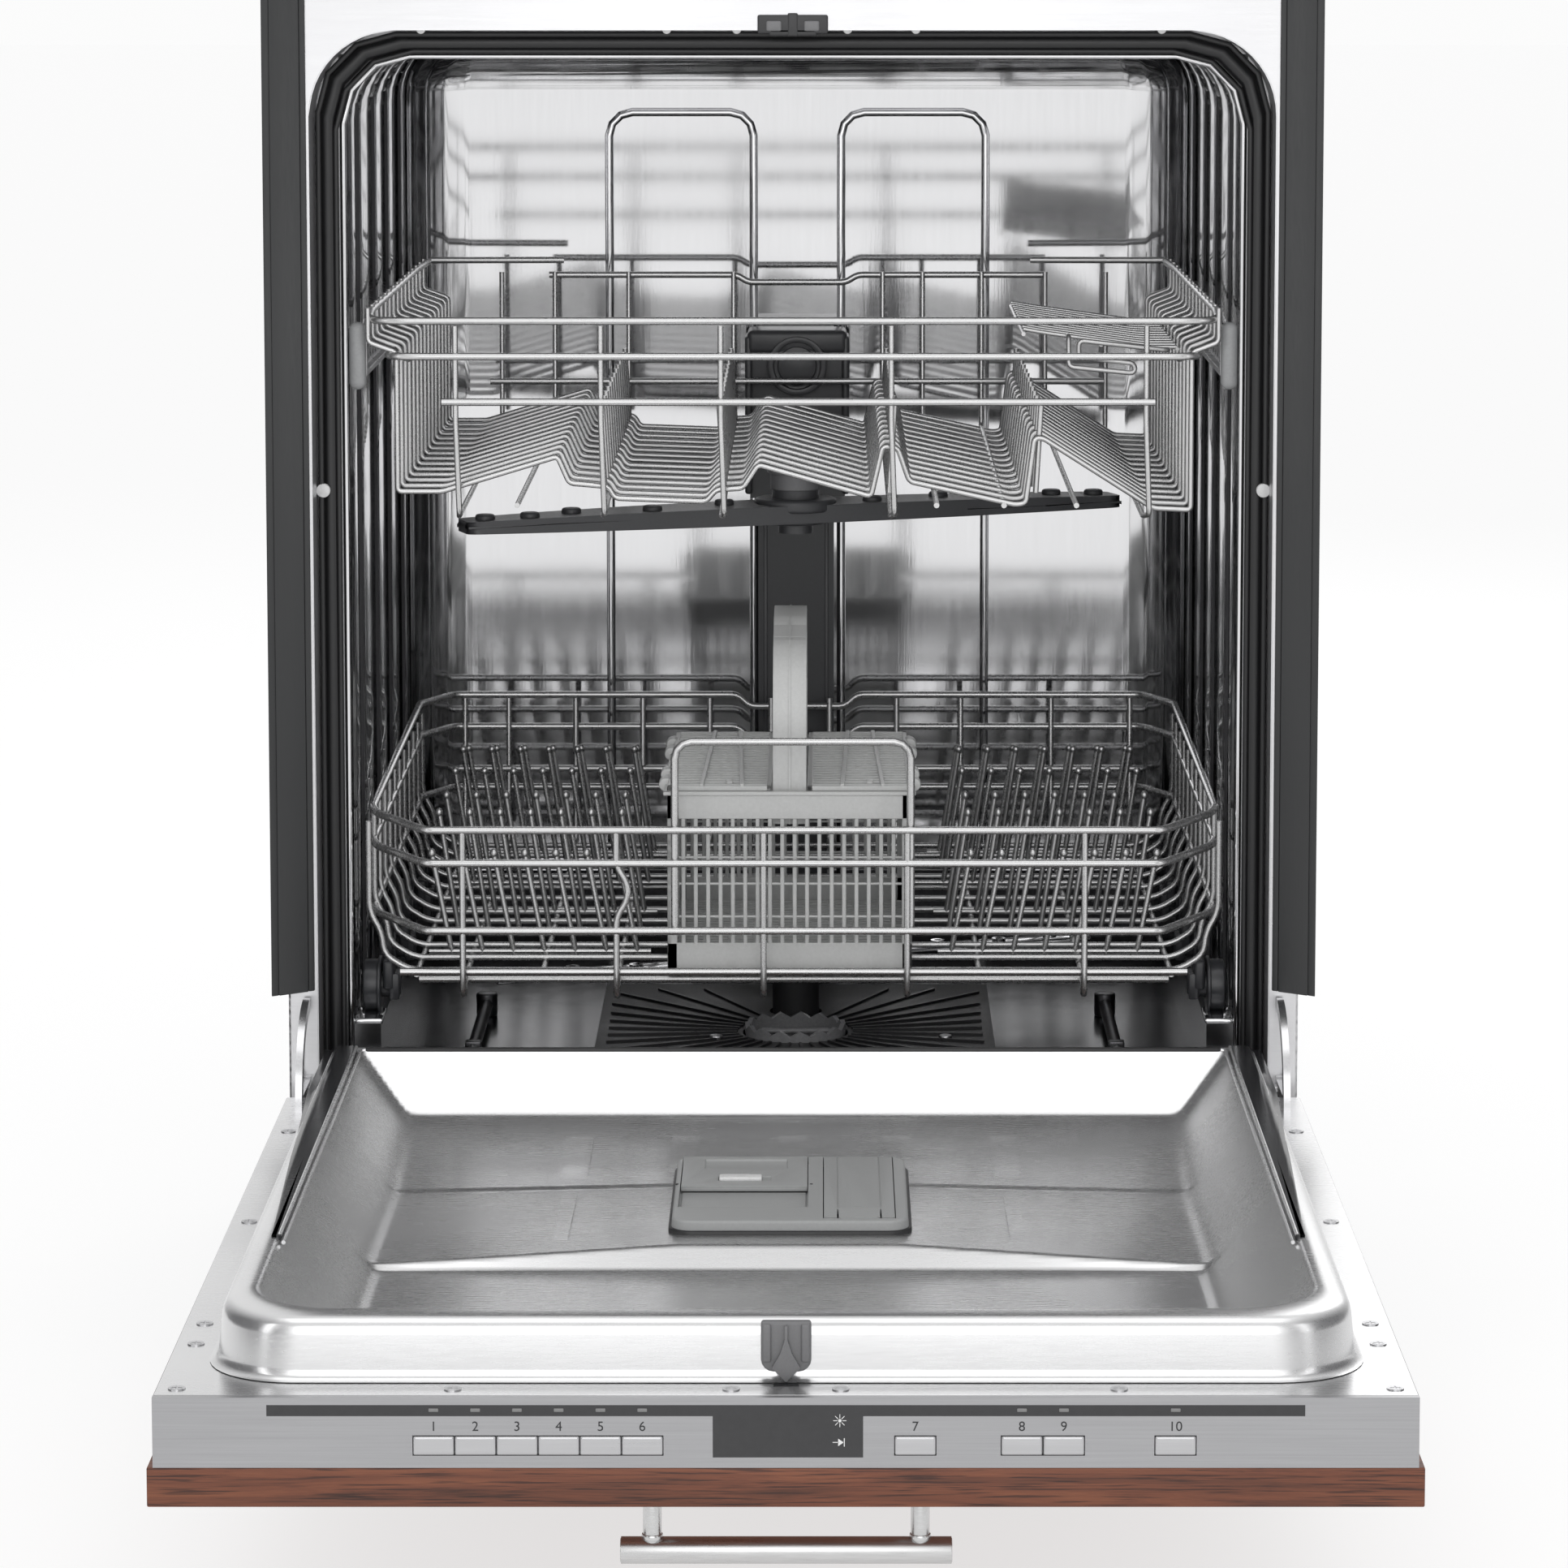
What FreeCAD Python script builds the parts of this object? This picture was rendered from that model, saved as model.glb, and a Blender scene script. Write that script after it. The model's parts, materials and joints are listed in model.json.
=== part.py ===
import FreeCAD, Part
import os
import re

import Sketcher

# A 24 inch panel-ready dishwasher. X runs across, -Y points out of the front, Z up.
# The origin is on the floor, under the middle of the unit with its door open.
os.makedirs("parts", exist_ok=True)
doc = FreeCAD.newDocument("dishwasher")

# ---- Driving sizes, in millimetres ----
SIZES = {
    # tub: half its inner width, its depth from the front flange, and the opening's height
    "tub_half": 265, "back_wall": 546, "gasket_top": 613, "door_plane": 185,
    "sheet_metal": 1.2, "floor_drop": 16, "ledge_wide": 17, "ledge_top": 31,
    "gasket_step": 3, "gasket_wide": 12, "gasket_deep": 12, "collar_gap": 2,
    "collar_depth": 42, "flange_wide": 17, "flange_head": 41, "bracket_rise": 7,
    "trim_over": 10, "trim_bottom": 60, "trim_thick": 2.2, "back_space": 29,
    # door
    "hinge_back": 3, "door_thick": 34, "panel_thick": 19.2, "panel_proud": 3,
    "panel_tail": 54, "fascia": 4, "rim_high": 30, "rim_bite": 7, "lip_wide": 28,
    "rim_rear": 23, "rim_wide": 18, "rim_front_wide": 23, "rim_rear_wide": 35,
    "basin_deep": 12, "frame_gap": 2, "track_thick": 1, "track_front": 464,
    "screw_head": 0.6, "tie_long": 39,
    "handle_bar": 6.5, "handle_post": 4.5, "handle_long": 158, "handle_pitch": 128,
    "handle_stand": 29, "handle_set": 26,
    # controls
    "button_wide": 19.2, "button_high": 9, "button_drop": 23.2, "button_clear": 0.4,
    "button_proud": 0.6, "button_deep": 3, "button_step": 19.7, "strip_half": 245,
    "strip_top": 3.6, "strip_high": 5.4, "window_wide": 71, "window_low": 29,
    "insert_deep": 1,
    # dispenser
    "dispenser_wide": 128, "dispenser_long": 148, "dispenser_front": 330,
    "dispenser_high": 16, "lid_wide": 69, "lid_long": 68, "lid_thick": 3, "lid_set": 78,
    "lid_travel": 46, "lid_gap": 0.5,
    "rinse_left": 18, "rinse_wide": 38, "rinse_long": 134, "rinse_set": 10,
    "filler": 11,
    # hinges
    "pin_radius": 4, "pin_play": 0.05, "arm_outer": 56, "arm_ring": 8,
    "arm_thick": 4, "arm_gap": 4, "bracket_gap": 0.4, "bracket_thick": 3,
    # racks
    "rack_front": 36, "rail_wire": 2.4, "rack_wire": 1.7,
    "slide_stud": 3, "slide_thick": 8, "slide_gap": 1.6, "slide_low": 419, "slide_high": 24,
    "wheel_radius": 15.5, "wheel_wide": 12, "wheel_gap": 3, "clip_wide": 5, "wheel_lift": 48,
    "upper_top": 455, "upper_floor": 352, "dock_room": 48,
    "lower_top": 150, "lower_floor": 60, "rear_room": 34,
    "tine_high": 80, "shelf_long": 95, "shelf_inset": 18, "shelf_drop": 23,
    # spray arms, feed duct and filter
    "upper_hub": 270, "lower_hub": 290, "filter_set": 225, "sump_set": 255,
    "upper_arm": 309, "upper_arm_thick": 11.5, "upper_arm_wide": 46, "arm_clear": 5,
    "lower_arm": 18, "lower_arm_thick": 6, "lower_arm_wide": 40,
    "spindle": 6, "spindle_play": 0.05, "dock_deep": 46, "duct_deep": 15, "socket": 4,
    "pipe_radius": 8, "pipe_high": 336, "dock_rise": 74,
    # heating element
    "element_tube": 4, "element_rise": 8, "element_front": 90, "element_long": 195, "gland": 7,
    # filter and sump
    "filter_radius": 32, "filter_gap": 1.5, "filter_plate_half": 126, "sump_radius": 78,
    "sump_deep": 76, "pedestal": 15,
    # cutlery basket
    "basket_left": -76, "basket_right": 71, "basket_front": 50, "basket_most": 218,
    "basket_base": 62.5, "basket_top": 170, "basket_wall": 2.5, "strap_top": 271,
    "strap_wide": 20, "grille_thick": 3,
    # base and services
    "base_inset": 7, "base_wall": 5, "base_front": 80, "base_tail": 14,
    "base_low": 25, "base_drop": 35, "foot_radius": 17, "foot_rod": 5, "foot_pad": 8,
    "toe_set": 50, "toe_low": 10, "toe_drop": 85, "jacket": 14,
    "inlet_radius": 13.2, "inlet_side": 205, "inlet_high": 80, "bracket_hole": 2.5,
    "bracket_side": 220,
}
sheet = doc.addObject("Spreadsheet::Sheet", "Sizes")
for row, (alias, value) in enumerate(SIZES.items(), 1):
    sheet.set(f"A{row}", alias)
    sheet.set(f"B{row}", str(value))
    sheet.setAlias(f"B{row}", alias)
doc.recompute()

# ---- Places worked out from the sizes ----
PLACES = {
    "gasket_half": "tub_half + gasket_step",
    "collar_half": "gasket_half + gasket_wide + collar_gap",
    "collar_top": "gasket_top + gasket_wide + collar_gap",
    "ceiling_front": "gasket_top - gasket_step",
    "body_width": "2 * (collar_half + flange_wide)",
    "panel_width": "body_width + 2 * panel_proud",
    "trim_width": "body_width + 2 * trim_over",
    "trim_inner": "collar_half + sheet_metal + 0.3",
    "flange_top": "collar_top + flange_head",
    "rim_half": "gasket_half + rim_bite",
    "rim_front": "gasket_top + rim_bite",
    "reach": "rim_front + lip_wide",
    "back_depth": "back_wall + back_space",
    "base_half": "body_width / 2 - base_inset",
    "base_back": "back_wall + base_tail",
    "base_top": "door_plane - base_drop",
    "toe_top": "door_plane - toe_drop",
    "arm_side": "collar_half + arm_gap",
    "arm_inner": "arm_outer - arm_ring",
    "ledge_half": "tub_half - ledge_wide",
    "slide_inner": "tub_half - slide_stud - slide_thick",
    "wheel_inner": "tub_half - wheel_gap - wheel_wide",
    "upper_half": "slide_inner - slide_gap - rail_wire",
    "lower_half": "wheel_inner - clip_wide",
    "upper_depth": "back_wall - rack_front - dock_room",
    "lower_depth": "back_wall - rack_front - rear_room",
    "dock_front": "back_wall - dock_deep",
    "upper_reach": "min(tub_half - 44; dock_front - socket - arm_clear - upper_hub)",
    "lower_reach": "min(ledge_half - 43; back_wall - lower_hub - 51)",
    "face": "(reach + button_proud - back_depth) / 2",
    "deck": "door_plane",
    "unit_top": "deck + flange_top + bracket_rise",
    "pivot_y": "face - hinge_back",
    "floor_z": "door_plane - floor_drop",
    "panel_face": "door_plane - door_thick - panel_thick",
    "front": "face - reach",
    "frame_front": "face - reach + fascia",
    "upper_y": "face + upper_hub",
    "lower_y": "face + lower_hub",
    "filter_y": "face + filter_set",
    "sump_y": "face + sump_set",
    "rack_y": "face + rack_front",
    "dish_floor": "door_plane - basin_deep",
    "basket_y": "face + basket_front",
    "fold_y": "rack_y + 0.6 * lower_depth",
    "basket_long": "min(basket_most; rack_front + 0.6 * lower_depth - basket_front - 10)",
    "element_half": "ledge_half - 48",
}
places = doc.addObject("Spreadsheet::Sheet", "Places")


def formula(text):
    """The formula with each cell's alias given its sheet's name."""

    def full(match):
        word = match.group(0)
        if word in SIZES:
            return "Sizes." + word
        return "Places." + word if word in PLACES else word

    return re.sub(r"[a-z][a-z_]*", full, str(text))


for row, (alias, text) in enumerate(PLACES.items(), 1):
    places.set(f"A{row}", alias)
    places.setAlias(f"B{row}", alias)
for row, (alias, text) in enumerate(PLACES.items(), 1):
    places.set(f"B{row}", "=" + formula(text).replace("Places.", ""))
doc.recompute()

nodes = []
made = 0


def new(kind, name=None):
    global made
    made += 1
    return doc.addObject(kind, name or f"solid_{made}")


def bind(thing, prop, text):
    thing.setExpression(prop, formula(text))


def node(name, thing):
    """Names a finished sub-part after its file."""
    thing.Label = name
    nodes.append(thing)
    return thing


def block(x, y, z):
    """A box from a low to a high formula along each axis."""
    box = new("Part::Box")
    for side, axis, (low, high) in zip(("Length", "Width", "Height"), "xyz", (x, y, z)):
        bind(box, side, f"({high}) - ({low})")
        bind(box, f"Placement.Base.{axis}", low)
    return box


TURN = {
    "x": FreeCAD.Rotation(FreeCAD.Vector(0, 1, 0), 90),
    "y": FreeCAD.Rotation(FreeCAD.Vector(1, 0, 0), -90),
    "z": FreeCAD.Rotation(),
}


def rod(axis, radius, x, y, z, length, turn=360):
    """A cylinder that starts at x, y, z and runs along +axis."""
    bar = new("Part::Cylinder")
    bar.Placement = FreeCAD.Placement(FreeCAD.Vector(), TURN[axis])
    bar.Angle = turn
    bind(bar, "Radius", radius)
    bind(bar, "Height", length)
    for place, text in zip("xyz", (x, y, z)):
        bind(bar, f"Placement.Base.{place}", text)
    return bar


def cut(base, *tools):
    for tool in tools:
        result = new("Part::Cut")
        result.Base, result.Tool = base, tool
        base = result
    return base


def fuse(*things):
    result = new("Part::MultiFuse")
    result.Shapes = list(things)
    return result


def group(*things):
    """Separate solids that share one file."""
    result = new("Part::Compound")
    result.Links = list(things)
    return result


def mirrored(low, high):
    """The two X ranges of a left and a right piece."""
    return [(f"-({high})", f"-({low})"), (low, high)]


def wire(axis, start, end, at, radius="rack_wire"):
    """A straight rack wire along an axis; at gives its two other coordinates."""
    where = dict(zip([a for a in "xyz" if a != axis], at))
    where[axis] = start
    return rod(axis, radius, where["x"], where["y"], where["z"], f"({end}) - ({start})")


def sketch(body, plane, loops, offset="0"):
    """A sketch of closed outlines on one of the body's own planes, each corner bound to formulas."""
    base = next(f for f in body.Origin.OriginFeatures if f.Role == plane)
    drawing = body.newObject("Sketcher::SketchObject", f"outline_{len(doc.Objects)}")
    drawing.AttachmentSupport = [(base, "")]
    drawing.MapMode = "FlatFace"
    bind(drawing, "AttachmentOffset.Base.z", offset)
    for loop in loops:
        first = drawing.GeometryCount
        points = [FreeCAD.Vector(number(x), number(y), 0) for x, y in loop]
        count = len(points)
        for n in range(count):
            drawing.addGeometry(Part.LineSegment(points[n], points[(n + 1) % count]))
        for n in range(count):
            following = first + (n + 1) % count
            drawing.addConstraint(Sketcher.Constraint("Coincident", first + n, 2, following, 1))
        for n, (x, y) in enumerate(loop):
            for kind, text, value in (("DistanceX", x, points[n].x), ("DistanceY", y, points[n].y)):
                held = Sketcher.Constraint(kind, -1, 1, first + n, 1, value)
                index = drawing.addConstraint(held)
                bind(drawing, f"Constraints[{index}]", text)
    return drawing


def number(text):
    """The value of a formula, from a scratch cell."""
    places.set("D1", "=" + formula(text).replace("Places.", ""))
    places.recompute()
    return float(places.D1)


def pad(body, outline, length, reverse=False):
    step = body.newObject("PartDesign::Pad", f"pad_{len(doc.Objects)}")
    step.Profile = outline
    step.Reversed = reverse
    bind(step, "Length", length)
    return step


def pocket(body, outline, length, reverse=False):
    step = body.newObject("PartDesign::Pocket", f"pocket_{len(doc.Objects)}")
    step.Profile = outline
    step.Reversed = reverse
    bind(step, "Length", length)
    return step


def rectangle(x0, x1, y0, y1):
    return [(x0, y0), (x1, y0), (x1, y1), (x0, y1)]


def arch(body, outer, outer_top, inner, inner_top, low, at, deep):
    """Pads an upside-down U, as wide as outer and open below, from Y = at by deep towards the back."""
    corners = [(f"-({outer})", low), (f"-({outer})", outer_top), (outer, outer_top), (outer, low)]
    corners += [(inner, low), (inner, inner_top), (f"-({inner})", inner_top), (f"-({inner})", low)]
    return pad(body, sketch(body, "XZ_Plane", [corners], f"-({at})"), deep, True)


# ---- Base, feet and toe kick ----
tray = new("PartDesign::Body")
outside = rectangle("-base_half", "base_half", "face + base_front", "face + base_back")
inside = rectangle(
    "base_wall - base_half", "base_half - base_wall",
    "face + base_front + base_wall", "face + base_back - base_wall",
)
pad(tray, sketch(tray, "XY_Plane", [outside], "base_low"), "base_top - base_low")
pocket(tray, sketch(tray, "XY_Plane", [inside], "base_low + base_wall"), "base_top", True)
inlet_hole = rod("y", "inlet_radius + 10", "inlet_side", "face + base_back - 2 * base_wall", "inlet_high",
                 "3 * base_wall")
tray = cut(tray, inlet_hole)
rails = []
for x in mirrored("base_half - 42", "base_half"):
    rails.append(block(x, ("face + 120", "face + base_back"),
                       ("base_top", "floor_z - sheet_metal")))
for x in mirrored("base_half - 12", "base_half"):
    rails.append(block(x, ("face + toe_set + 2", "face + base_front + 1"), ("base_low", "95")))
node("base_frame", fuse(tray, *rails))

feet = []
for x in ("50 - base_half", "base_half - 50"):
    for y in ("face + base_front + 12", "face + base_back - 40"):
        pad_disc = rod("z", "foot_radius", x, y, "0", "foot_pad")
        feet.append(fuse(pad_disc, rod("z", "foot_rod", x, y, "0", "base_low")))
node("levelling_feet", group(*feet))

plate = block(("-body_width / 2", "body_width / 2"), ("face + toe_set", "face + toe_set + 2"),
              ("toe_low", "toe_top"))
lip = block(("-body_width / 2", "body_width / 2"), ("face + toe_set", "face + toe_set + 12"),
            ("toe_low", "toe_low + 2"))
node("toe_kick", fuse(plate, lip))

# ---- Tub ----
body = new("PartDesign::Body")
arch(body, "tub_half + sheet_metal", "deck + ceiling_front + sheet_metal", "tub_half",
     "deck + ceiling_front", "floor_z - sheet_metal", "face + collar_depth",
     "back_wall - collar_depth")
node("tub_wrap", body)

node("tub_back", block(
    ("-tub_half - sheet_metal", "tub_half + sheet_metal"),
    ("face + back_wall", "face + back_wall + sheet_metal"),
    ("floor_z - sheet_metal", "deck + ceiling_front + sheet_metal"),
))

floor = block(("-tub_half", "tub_half"),
              ("face + collar_depth - sheet_metal - gasket_deep", "face + back_wall"),
              ("floor_z - sheet_metal", "floor_z"))
floor = cut(floor, rod("z", "sump_radius - 6", "0", "sump_y", "floor_z - 10", "20"))
ledges = [
    block(x, ("face + collar_depth", "face + back_wall"), ("floor_z", "deck + ledge_top"))
    for x in mirrored("ledge_half", "tub_half")
]
node("tub_floor", fuse(floor, *ledges))

body = new("PartDesign::Body")
arch(body, "body_width / 2", "deck + flange_top", "collar_half", "deck + collar_top",
     "deck + trim_bottom + 4", "face", "sheet_metal")
arch(body, "collar_half + sheet_metal", "deck + collar_top + sheet_metal", "collar_half",
     "deck + collar_top", "deck - 10", "face", "collar_depth")
arch(body, "collar_half + sheet_metal", "deck + collar_top + sheet_metal", "tub_half",
     "deck + ceiling_front", "deck - 10", "face + collar_depth - sheet_metal", "sheet_metal")
node("front_flange", body)

body = new("PartDesign::Body")
arch(body, "gasket_half + gasket_wide", "deck + gasket_top + gasket_wide", "gasket_half",
     "deck + gasket_top", "deck - 8", "face + collar_depth - sheet_metal - gasket_deep",
     "gasket_deep")
node("door_gasket", body)

node("bottom_seal", block(
    ("1 - tub_half", "tub_half - 1"),
    ("face + collar_depth - sheet_metal - gasket_deep", "face + collar_depth - sheet_metal"),
    ("floor_z", "deck + 14"),
))
node("side_trims", group(*[
    block(x, ("face - trim_thick", "face"), ("deck + trim_bottom", "deck + flange_top"))
    for x in mirrored("trim_inner", "trim_width / 2")
]))
node("latch_striker", group(
    block(("-20", "20"), ("face - 2", "face"), ("deck + collar_top + 2", "deck + collar_top + 11")),
    block(("-8", "8"), ("face + 6", "face + 20"), ("deck + collar_top - 8", "deck + collar_top")),
))

# ---- Fixed slides, feed duct, sump and pumps ----
sides = []
for side in ("-1", "1"):
    low, high = ("slide_inner", "slide_inner + slide_thick")
    if side == "-1":
        low, high = (f"-({high})", f"-({low})")
    rail = block((low, high), ("face + collar_depth + 4", "face + back_wall - 12"),
                 ("deck + slide_low", "deck + slide_low + slide_high"))
    stud_start = "slide_inner + slide_thick / 2" if side == "1" else "-tub_half"
    studs = [
        rod("x", "4", stud_start, y, "deck + slide_low + slide_high / 2",
            "tub_half - slide_inner - slide_thick / 2")
        for y in ("face + 100", "face + back_wall - 60")
    ]
    sides.append(fuse(rail, *studs))
node("rack_slides", group(*sides))

duct = block(("-27", "25"), ("face + back_wall - duct_deep", "face + back_wall"),
             ("floor_z", "deck + pipe_high + dock_rise"))
dock = block(("-32", "32"), ("face + dock_front", "face + back_wall - duct_deep + 1"),
             ("deck + pipe_high - 39", "deck + pipe_high + dock_rise"))
port_z = ("deck + pipe_high", "deck + pipe_high + 52")
sockets = [rod("y", "18", "0", "face + dock_front - socket", z, "socket + 6") for z in port_z]
bores = [rod("y", "pipe_radius + 1", "0", "face + dock_front - socket - 6", z, "30")
         for z in port_z]
node("feed_duct", cut(fuse(duct, dock, *sockets), *bores))

well = rod("z", "sump_radius", "0", "sump_y", "floor_z - sump_deep", "sump_deep - sheet_metal")
hollow = rod("z", "sump_radius - 3", "0", "sump_y", "floor_z - sump_deep + 3", "sump_deep")
pedestal = rod("z", "pedestal", "0", "lower_y", "floor_z - sump_deep",
               "sump_deep + floor_drop + lower_arm - 0.5")
spindle = rod("z", "spindle", "0", "lower_y", "floor_z", "floor_drop + lower_arm + 12")
cap = rod("z", "12", "0", "lower_y", "deck + lower_arm + lower_arm_thick + 0.5", "6")
node("sump", fuse(cut(well, hollow), pedestal, spindle, cap))

pump = rod("x", "42", "-225", "sump_y", "85", "110")
pump_neck = rod("x", "14", "-116", "sump_y", "108", "115 - sump_radius")
node("circulation_pump", fuse(pump, pump_neck))
drain = rod("x", "28", "95", "sump_y", "75", "70")
drain_port = rod("y", "9", "130", "sump_y", "75", "70")
node("drain_pump", fuse(drain, drain_port))
valve = block(("inlet_side - 25", "inlet_side + 25"),
              ("face + base_back - 75", "face + base_back - 15"),
              ("inlet_high - 30", "inlet_high + 25"))
inlet = rod("y", "inlet_radius", "inlet_side", "face + base_back - 16", "inlet_high",
            "back_depth - base_back + 16")
node("inlet_valve", fuse(valve, inlet))
node("junction_box", block(("-260", "-170"), ("face + base_front + 12", "face + base_front + 70"),
                           ("base_low + base_wall", "82")))

element_z = "floor_z + element_rise"
legs = [rod("y", "element_tube", x, "face + element_front", element_z, "element_long")
        for x in ("-element_half", "element_half")]
bar = rod("x", "element_tube", "-element_half - element_tube", "face + element_front", element_z,
          "2 * (element_half + element_tube)")
posts = [rod("z", "3", x, "face + element_front + 60", "floor_z", "element_rise - 2")
         for x in ("-element_half", "element_half")]
glands = [rod("z", "gland", x, "face + element_front + element_long", "floor_z", "element_rise + 8")
          for x in ("-element_half", "element_half")]
node("heater", fuse(bar, *legs, *posts, *glands))

screen = block(("-filter_plate_half", "filter_plate_half"), ("sump_y - 130", "sump_y + 120"),
               ("floor_z", "floor_z + 2.2"))
screen = cut(screen, rod("z", "filter_radius + filter_gap", "0", "filter_y", "floor_z - 5", "20"),
             rod("z", "pedestal + 2", "0", "lower_y", "floor_z - 5", "20"))
node("filter_plate", screen)
cup = rod("z", "filter_radius", "0", "filter_y", "floor_z - 60", "69")
node("filter_cup", cut(cup, rod("z", "filter_radius - 3", "0", "filter_y", "floor_z - 57", "80")))

# ---- Jacket and brackets ----
jacket = [
    block(x, ("face + 100", "face + back_wall"), ("floor_z - sheet_metal",
                                                   "deck + ceiling_front + sheet_metal"))
    for x in mirrored("tub_half + sheet_metal", "tub_half + sheet_metal + jacket")
]
jacket.append(block(
    ("-tub_half - sheet_metal - jacket", "tub_half + sheet_metal + jacket"),
    ("face + collar_depth + 4", "face + back_wall"),
    ("deck + ceiling_front + sheet_metal", "deck + ceiling_front + sheet_metal + jacket"),
))
jacket.append(block(
    ("-tub_half - sheet_metal", "tub_half + sheet_metal"),
    ("face + back_wall + sheet_metal", "face + back_wall + sheet_metal + jacket - 1"),
    ("floor_z - sheet_metal", "deck + ceiling_front + sheet_metal"),
))
node("sound_jacket", group(*jacket))

brackets = []
for side in (-1, 1):
    middle = f"{side} * bracket_side"
    low, high = f"{middle} - 15", f"{middle} + 15"
    web = block((low, high), ("face + sheet_metal", "face + sheet_metal + 1.5"),
                ("deck + flange_top - 24", "unit_top"))
    tab = block((low, high), ("face + sheet_metal", "face + 42"), ("unit_top - 1.5", "unit_top"))
    hole = rod("z", "bracket_hole", middle, "face + 26", "unit_top - 10", "20")
    brackets.append(cut(fuse(web, tab), hole))
node("counter_brackets", group(*brackets))

QUARTER = FreeCAD.Rotation(
    FreeCAD.Vector(0, 0, 1), FreeCAD.Vector(0, -1, 0), FreeCAD.Vector(1, 0, 0), "ZXY"
)  # turns a quarter cylinder to lie between straight up and straight forward
plates, arms = [], []
for side in (-1, 1):
    inner = "arm_side" if side > 0 else "-arm_side - arm_thick"
    outer = "arm_side + arm_thick + bracket_gap"
    span = (outer, f"{outer} + bracket_thick")
    if side < 0:
        span = (f"-({outer} + bracket_thick)", f"-({outer})")
    web = block(span, ("pivot_y + 1", "face + base_front + 40"), ("deck - 8", "deck + 34"))
    leg = block(span, ("face + base_front + 4", "face + base_front + 40"), ("base_top", "deck"))
    foot = block(("arm_side", "arm_side + 7") if side > 0 else ("-arm_side - 7", "-arm_side"),
                 ("face + base_front + 4", "face + base_front + 38"), ("base_top", "base_top + 3"))
    boss = rod("x", "11", span[0], "pivot_y", "deck", "bracket_thick")
    pin_start = "arm_side - 1" if side > 0 else "-arm_side - arm_thick - bracket_gap - 1"
    pin = rod("x", "pin_radius", pin_start, "pivot_y", "deck", "arm_thick + bracket_gap + 2")
    plates.append(fuse(web, leg, foot, boss, pin))

    # the arm is a quarter ring that dives into the cabinet side as the door closes
    outer_disc = rod("x", "arm_outer", inner, "pivot_y", "deck", "arm_thick", 90)
    inner_disc = rod("x", "arm_inner", inner, "pivot_y", "deck", "arm_thick", 90)
    for disc in (outer_disc, inner_disc):
        disc.Placement = FreeCAD.Placement(disc.Placement.Base, QUARTER)
    spoke = block((inner, f"{inner} + arm_thick"), ("pivot_y - arm_inner - 3", "pivot_y"),
                  ("deck", "deck + 8"))
    hub = rod("x", "9", inner, "pivot_y", "deck", "arm_thick")
    bore = rod("x", "pin_radius + pin_play", f"{inner} - 1", "pivot_y", "deck", "arm_thick + 2")
    arms.append(cut(fuse(cut(outer_disc, inner_disc), spoke, hub), bore))
node("hinge_brackets", group(*plates))
node("hinge_arms", group(*arms))

# ---- Door ----
flange = block(("-body_width / 2", "body_width / 2"), ("frame_front", "face - rim_rear + 3"),
               ("deck - sheet_metal", "deck"))
rim = block(("-rim_half", "rim_half"), ("face - rim_front", "face - rim_rear"),
            ("dish_floor - sheet_metal", "deck + rim_high"))
dish = block(
    ("rim_wide - rim_half", "rim_half - rim_wide"),
    ("face - rim_front + rim_front_wide", "face - rim_rear - rim_rear_wide"),
    ("dish_floor", "deck + rim_high + 1"),
)
under = block(
    ("sheet_metal - rim_half", "rim_half - sheet_metal"),
    ("face - rim_front + sheet_metal", "face - rim_rear - sheet_metal"),
    ("dish_floor - sheet_metal - 1", "deck + rim_high - sheet_metal"),
)
under_dish = block(
    ("rim_wide - rim_half - sheet_metal", "rim_half - rim_wide + sheet_metal"),
    ("face - rim_front + rim_front_wide - sheet_metal",
     "face - rim_rear - rim_rear_wide + sheet_metal"),
    ("dish_floor - sheet_metal - 2", "deck + rim_high + 1"),
)
node("door_liner", cut(fuse(flange, rim), dish, cut(under, under_dish)))

surround = block(("-body_width / 2", "body_width / 2"), ("frame_front", "face - rim_rear + 3"),
                 ("deck - door_thick", "deck - sheet_metal"))
frame_well = block(
    ("-rim_half - frame_gap", "rim_half + frame_gap"),
    ("face - rim_front - frame_gap", "face"), ("deck - door_thick - 1", "deck + 1"),
)
tie = block(("-rim_half - frame_gap", "rim_half + frame_gap"),
            ("face - rim_rear - tie_long", "face - rim_rear + 3"),
            ("deck - door_thick", "dish_floor - sheet_metal - frame_gap"))
node("door_frame", fuse(cut(surround, frame_well), tie))

button_x = [f"-166.2 + {n} * button_step" for n in range(6)] + ["61.1", "111.4", "131.2", "183.9"]
button_z = ("deck - button_drop - button_high / 2", "deck - button_drop + button_high / 2")
fascia = block(("-body_width / 2", "body_width / 2"), ("front", "frame_front"),
               ("deck - door_thick", "deck"))
insert = [
    block(("-strip_half", "strip_half"), ("front", "front + insert_deep"),
          ("deck - strip_top - strip_high", "deck - strip_top")),
    block(("1 - window_wide / 2", "1 + window_wide / 2"), ("front", "front + insert_deep"),
          ("deck - window_low", "deck - strip_top")),
]
recess = [
    block(("-strip_half", "strip_half"), ("front - 1", "front + insert_deep"),
          ("deck - strip_top - strip_high", "deck - strip_top")),
    block(("1 - window_wide / 2", "1 + window_wide / 2"), ("front - 1", "front + insert_deep"),
          ("deck - window_low", "deck - strip_top")),
]
holes = [
    block((f"{x} - button_wide / 2 - button_clear", f"{x} + button_wide / 2 + button_clear"),
          ("front - 1", "frame_front + 1"),
          (f"{button_z[0]} - button_clear", f"{button_z[1]} + button_clear"))
    for x in button_x
]
node("control_panel", cut(fascia, *recess, *holes))
node("control_strip", fuse(*insert))
for number_on, x in enumerate(button_x, 1):
    node(f"button_{number_on}", block(
        (f"{x} - button_wide / 2", f"{x} + button_wide / 2"),
        ("front - button_proud", "front - button_proud + button_deep"), button_z,
    ))

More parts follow.
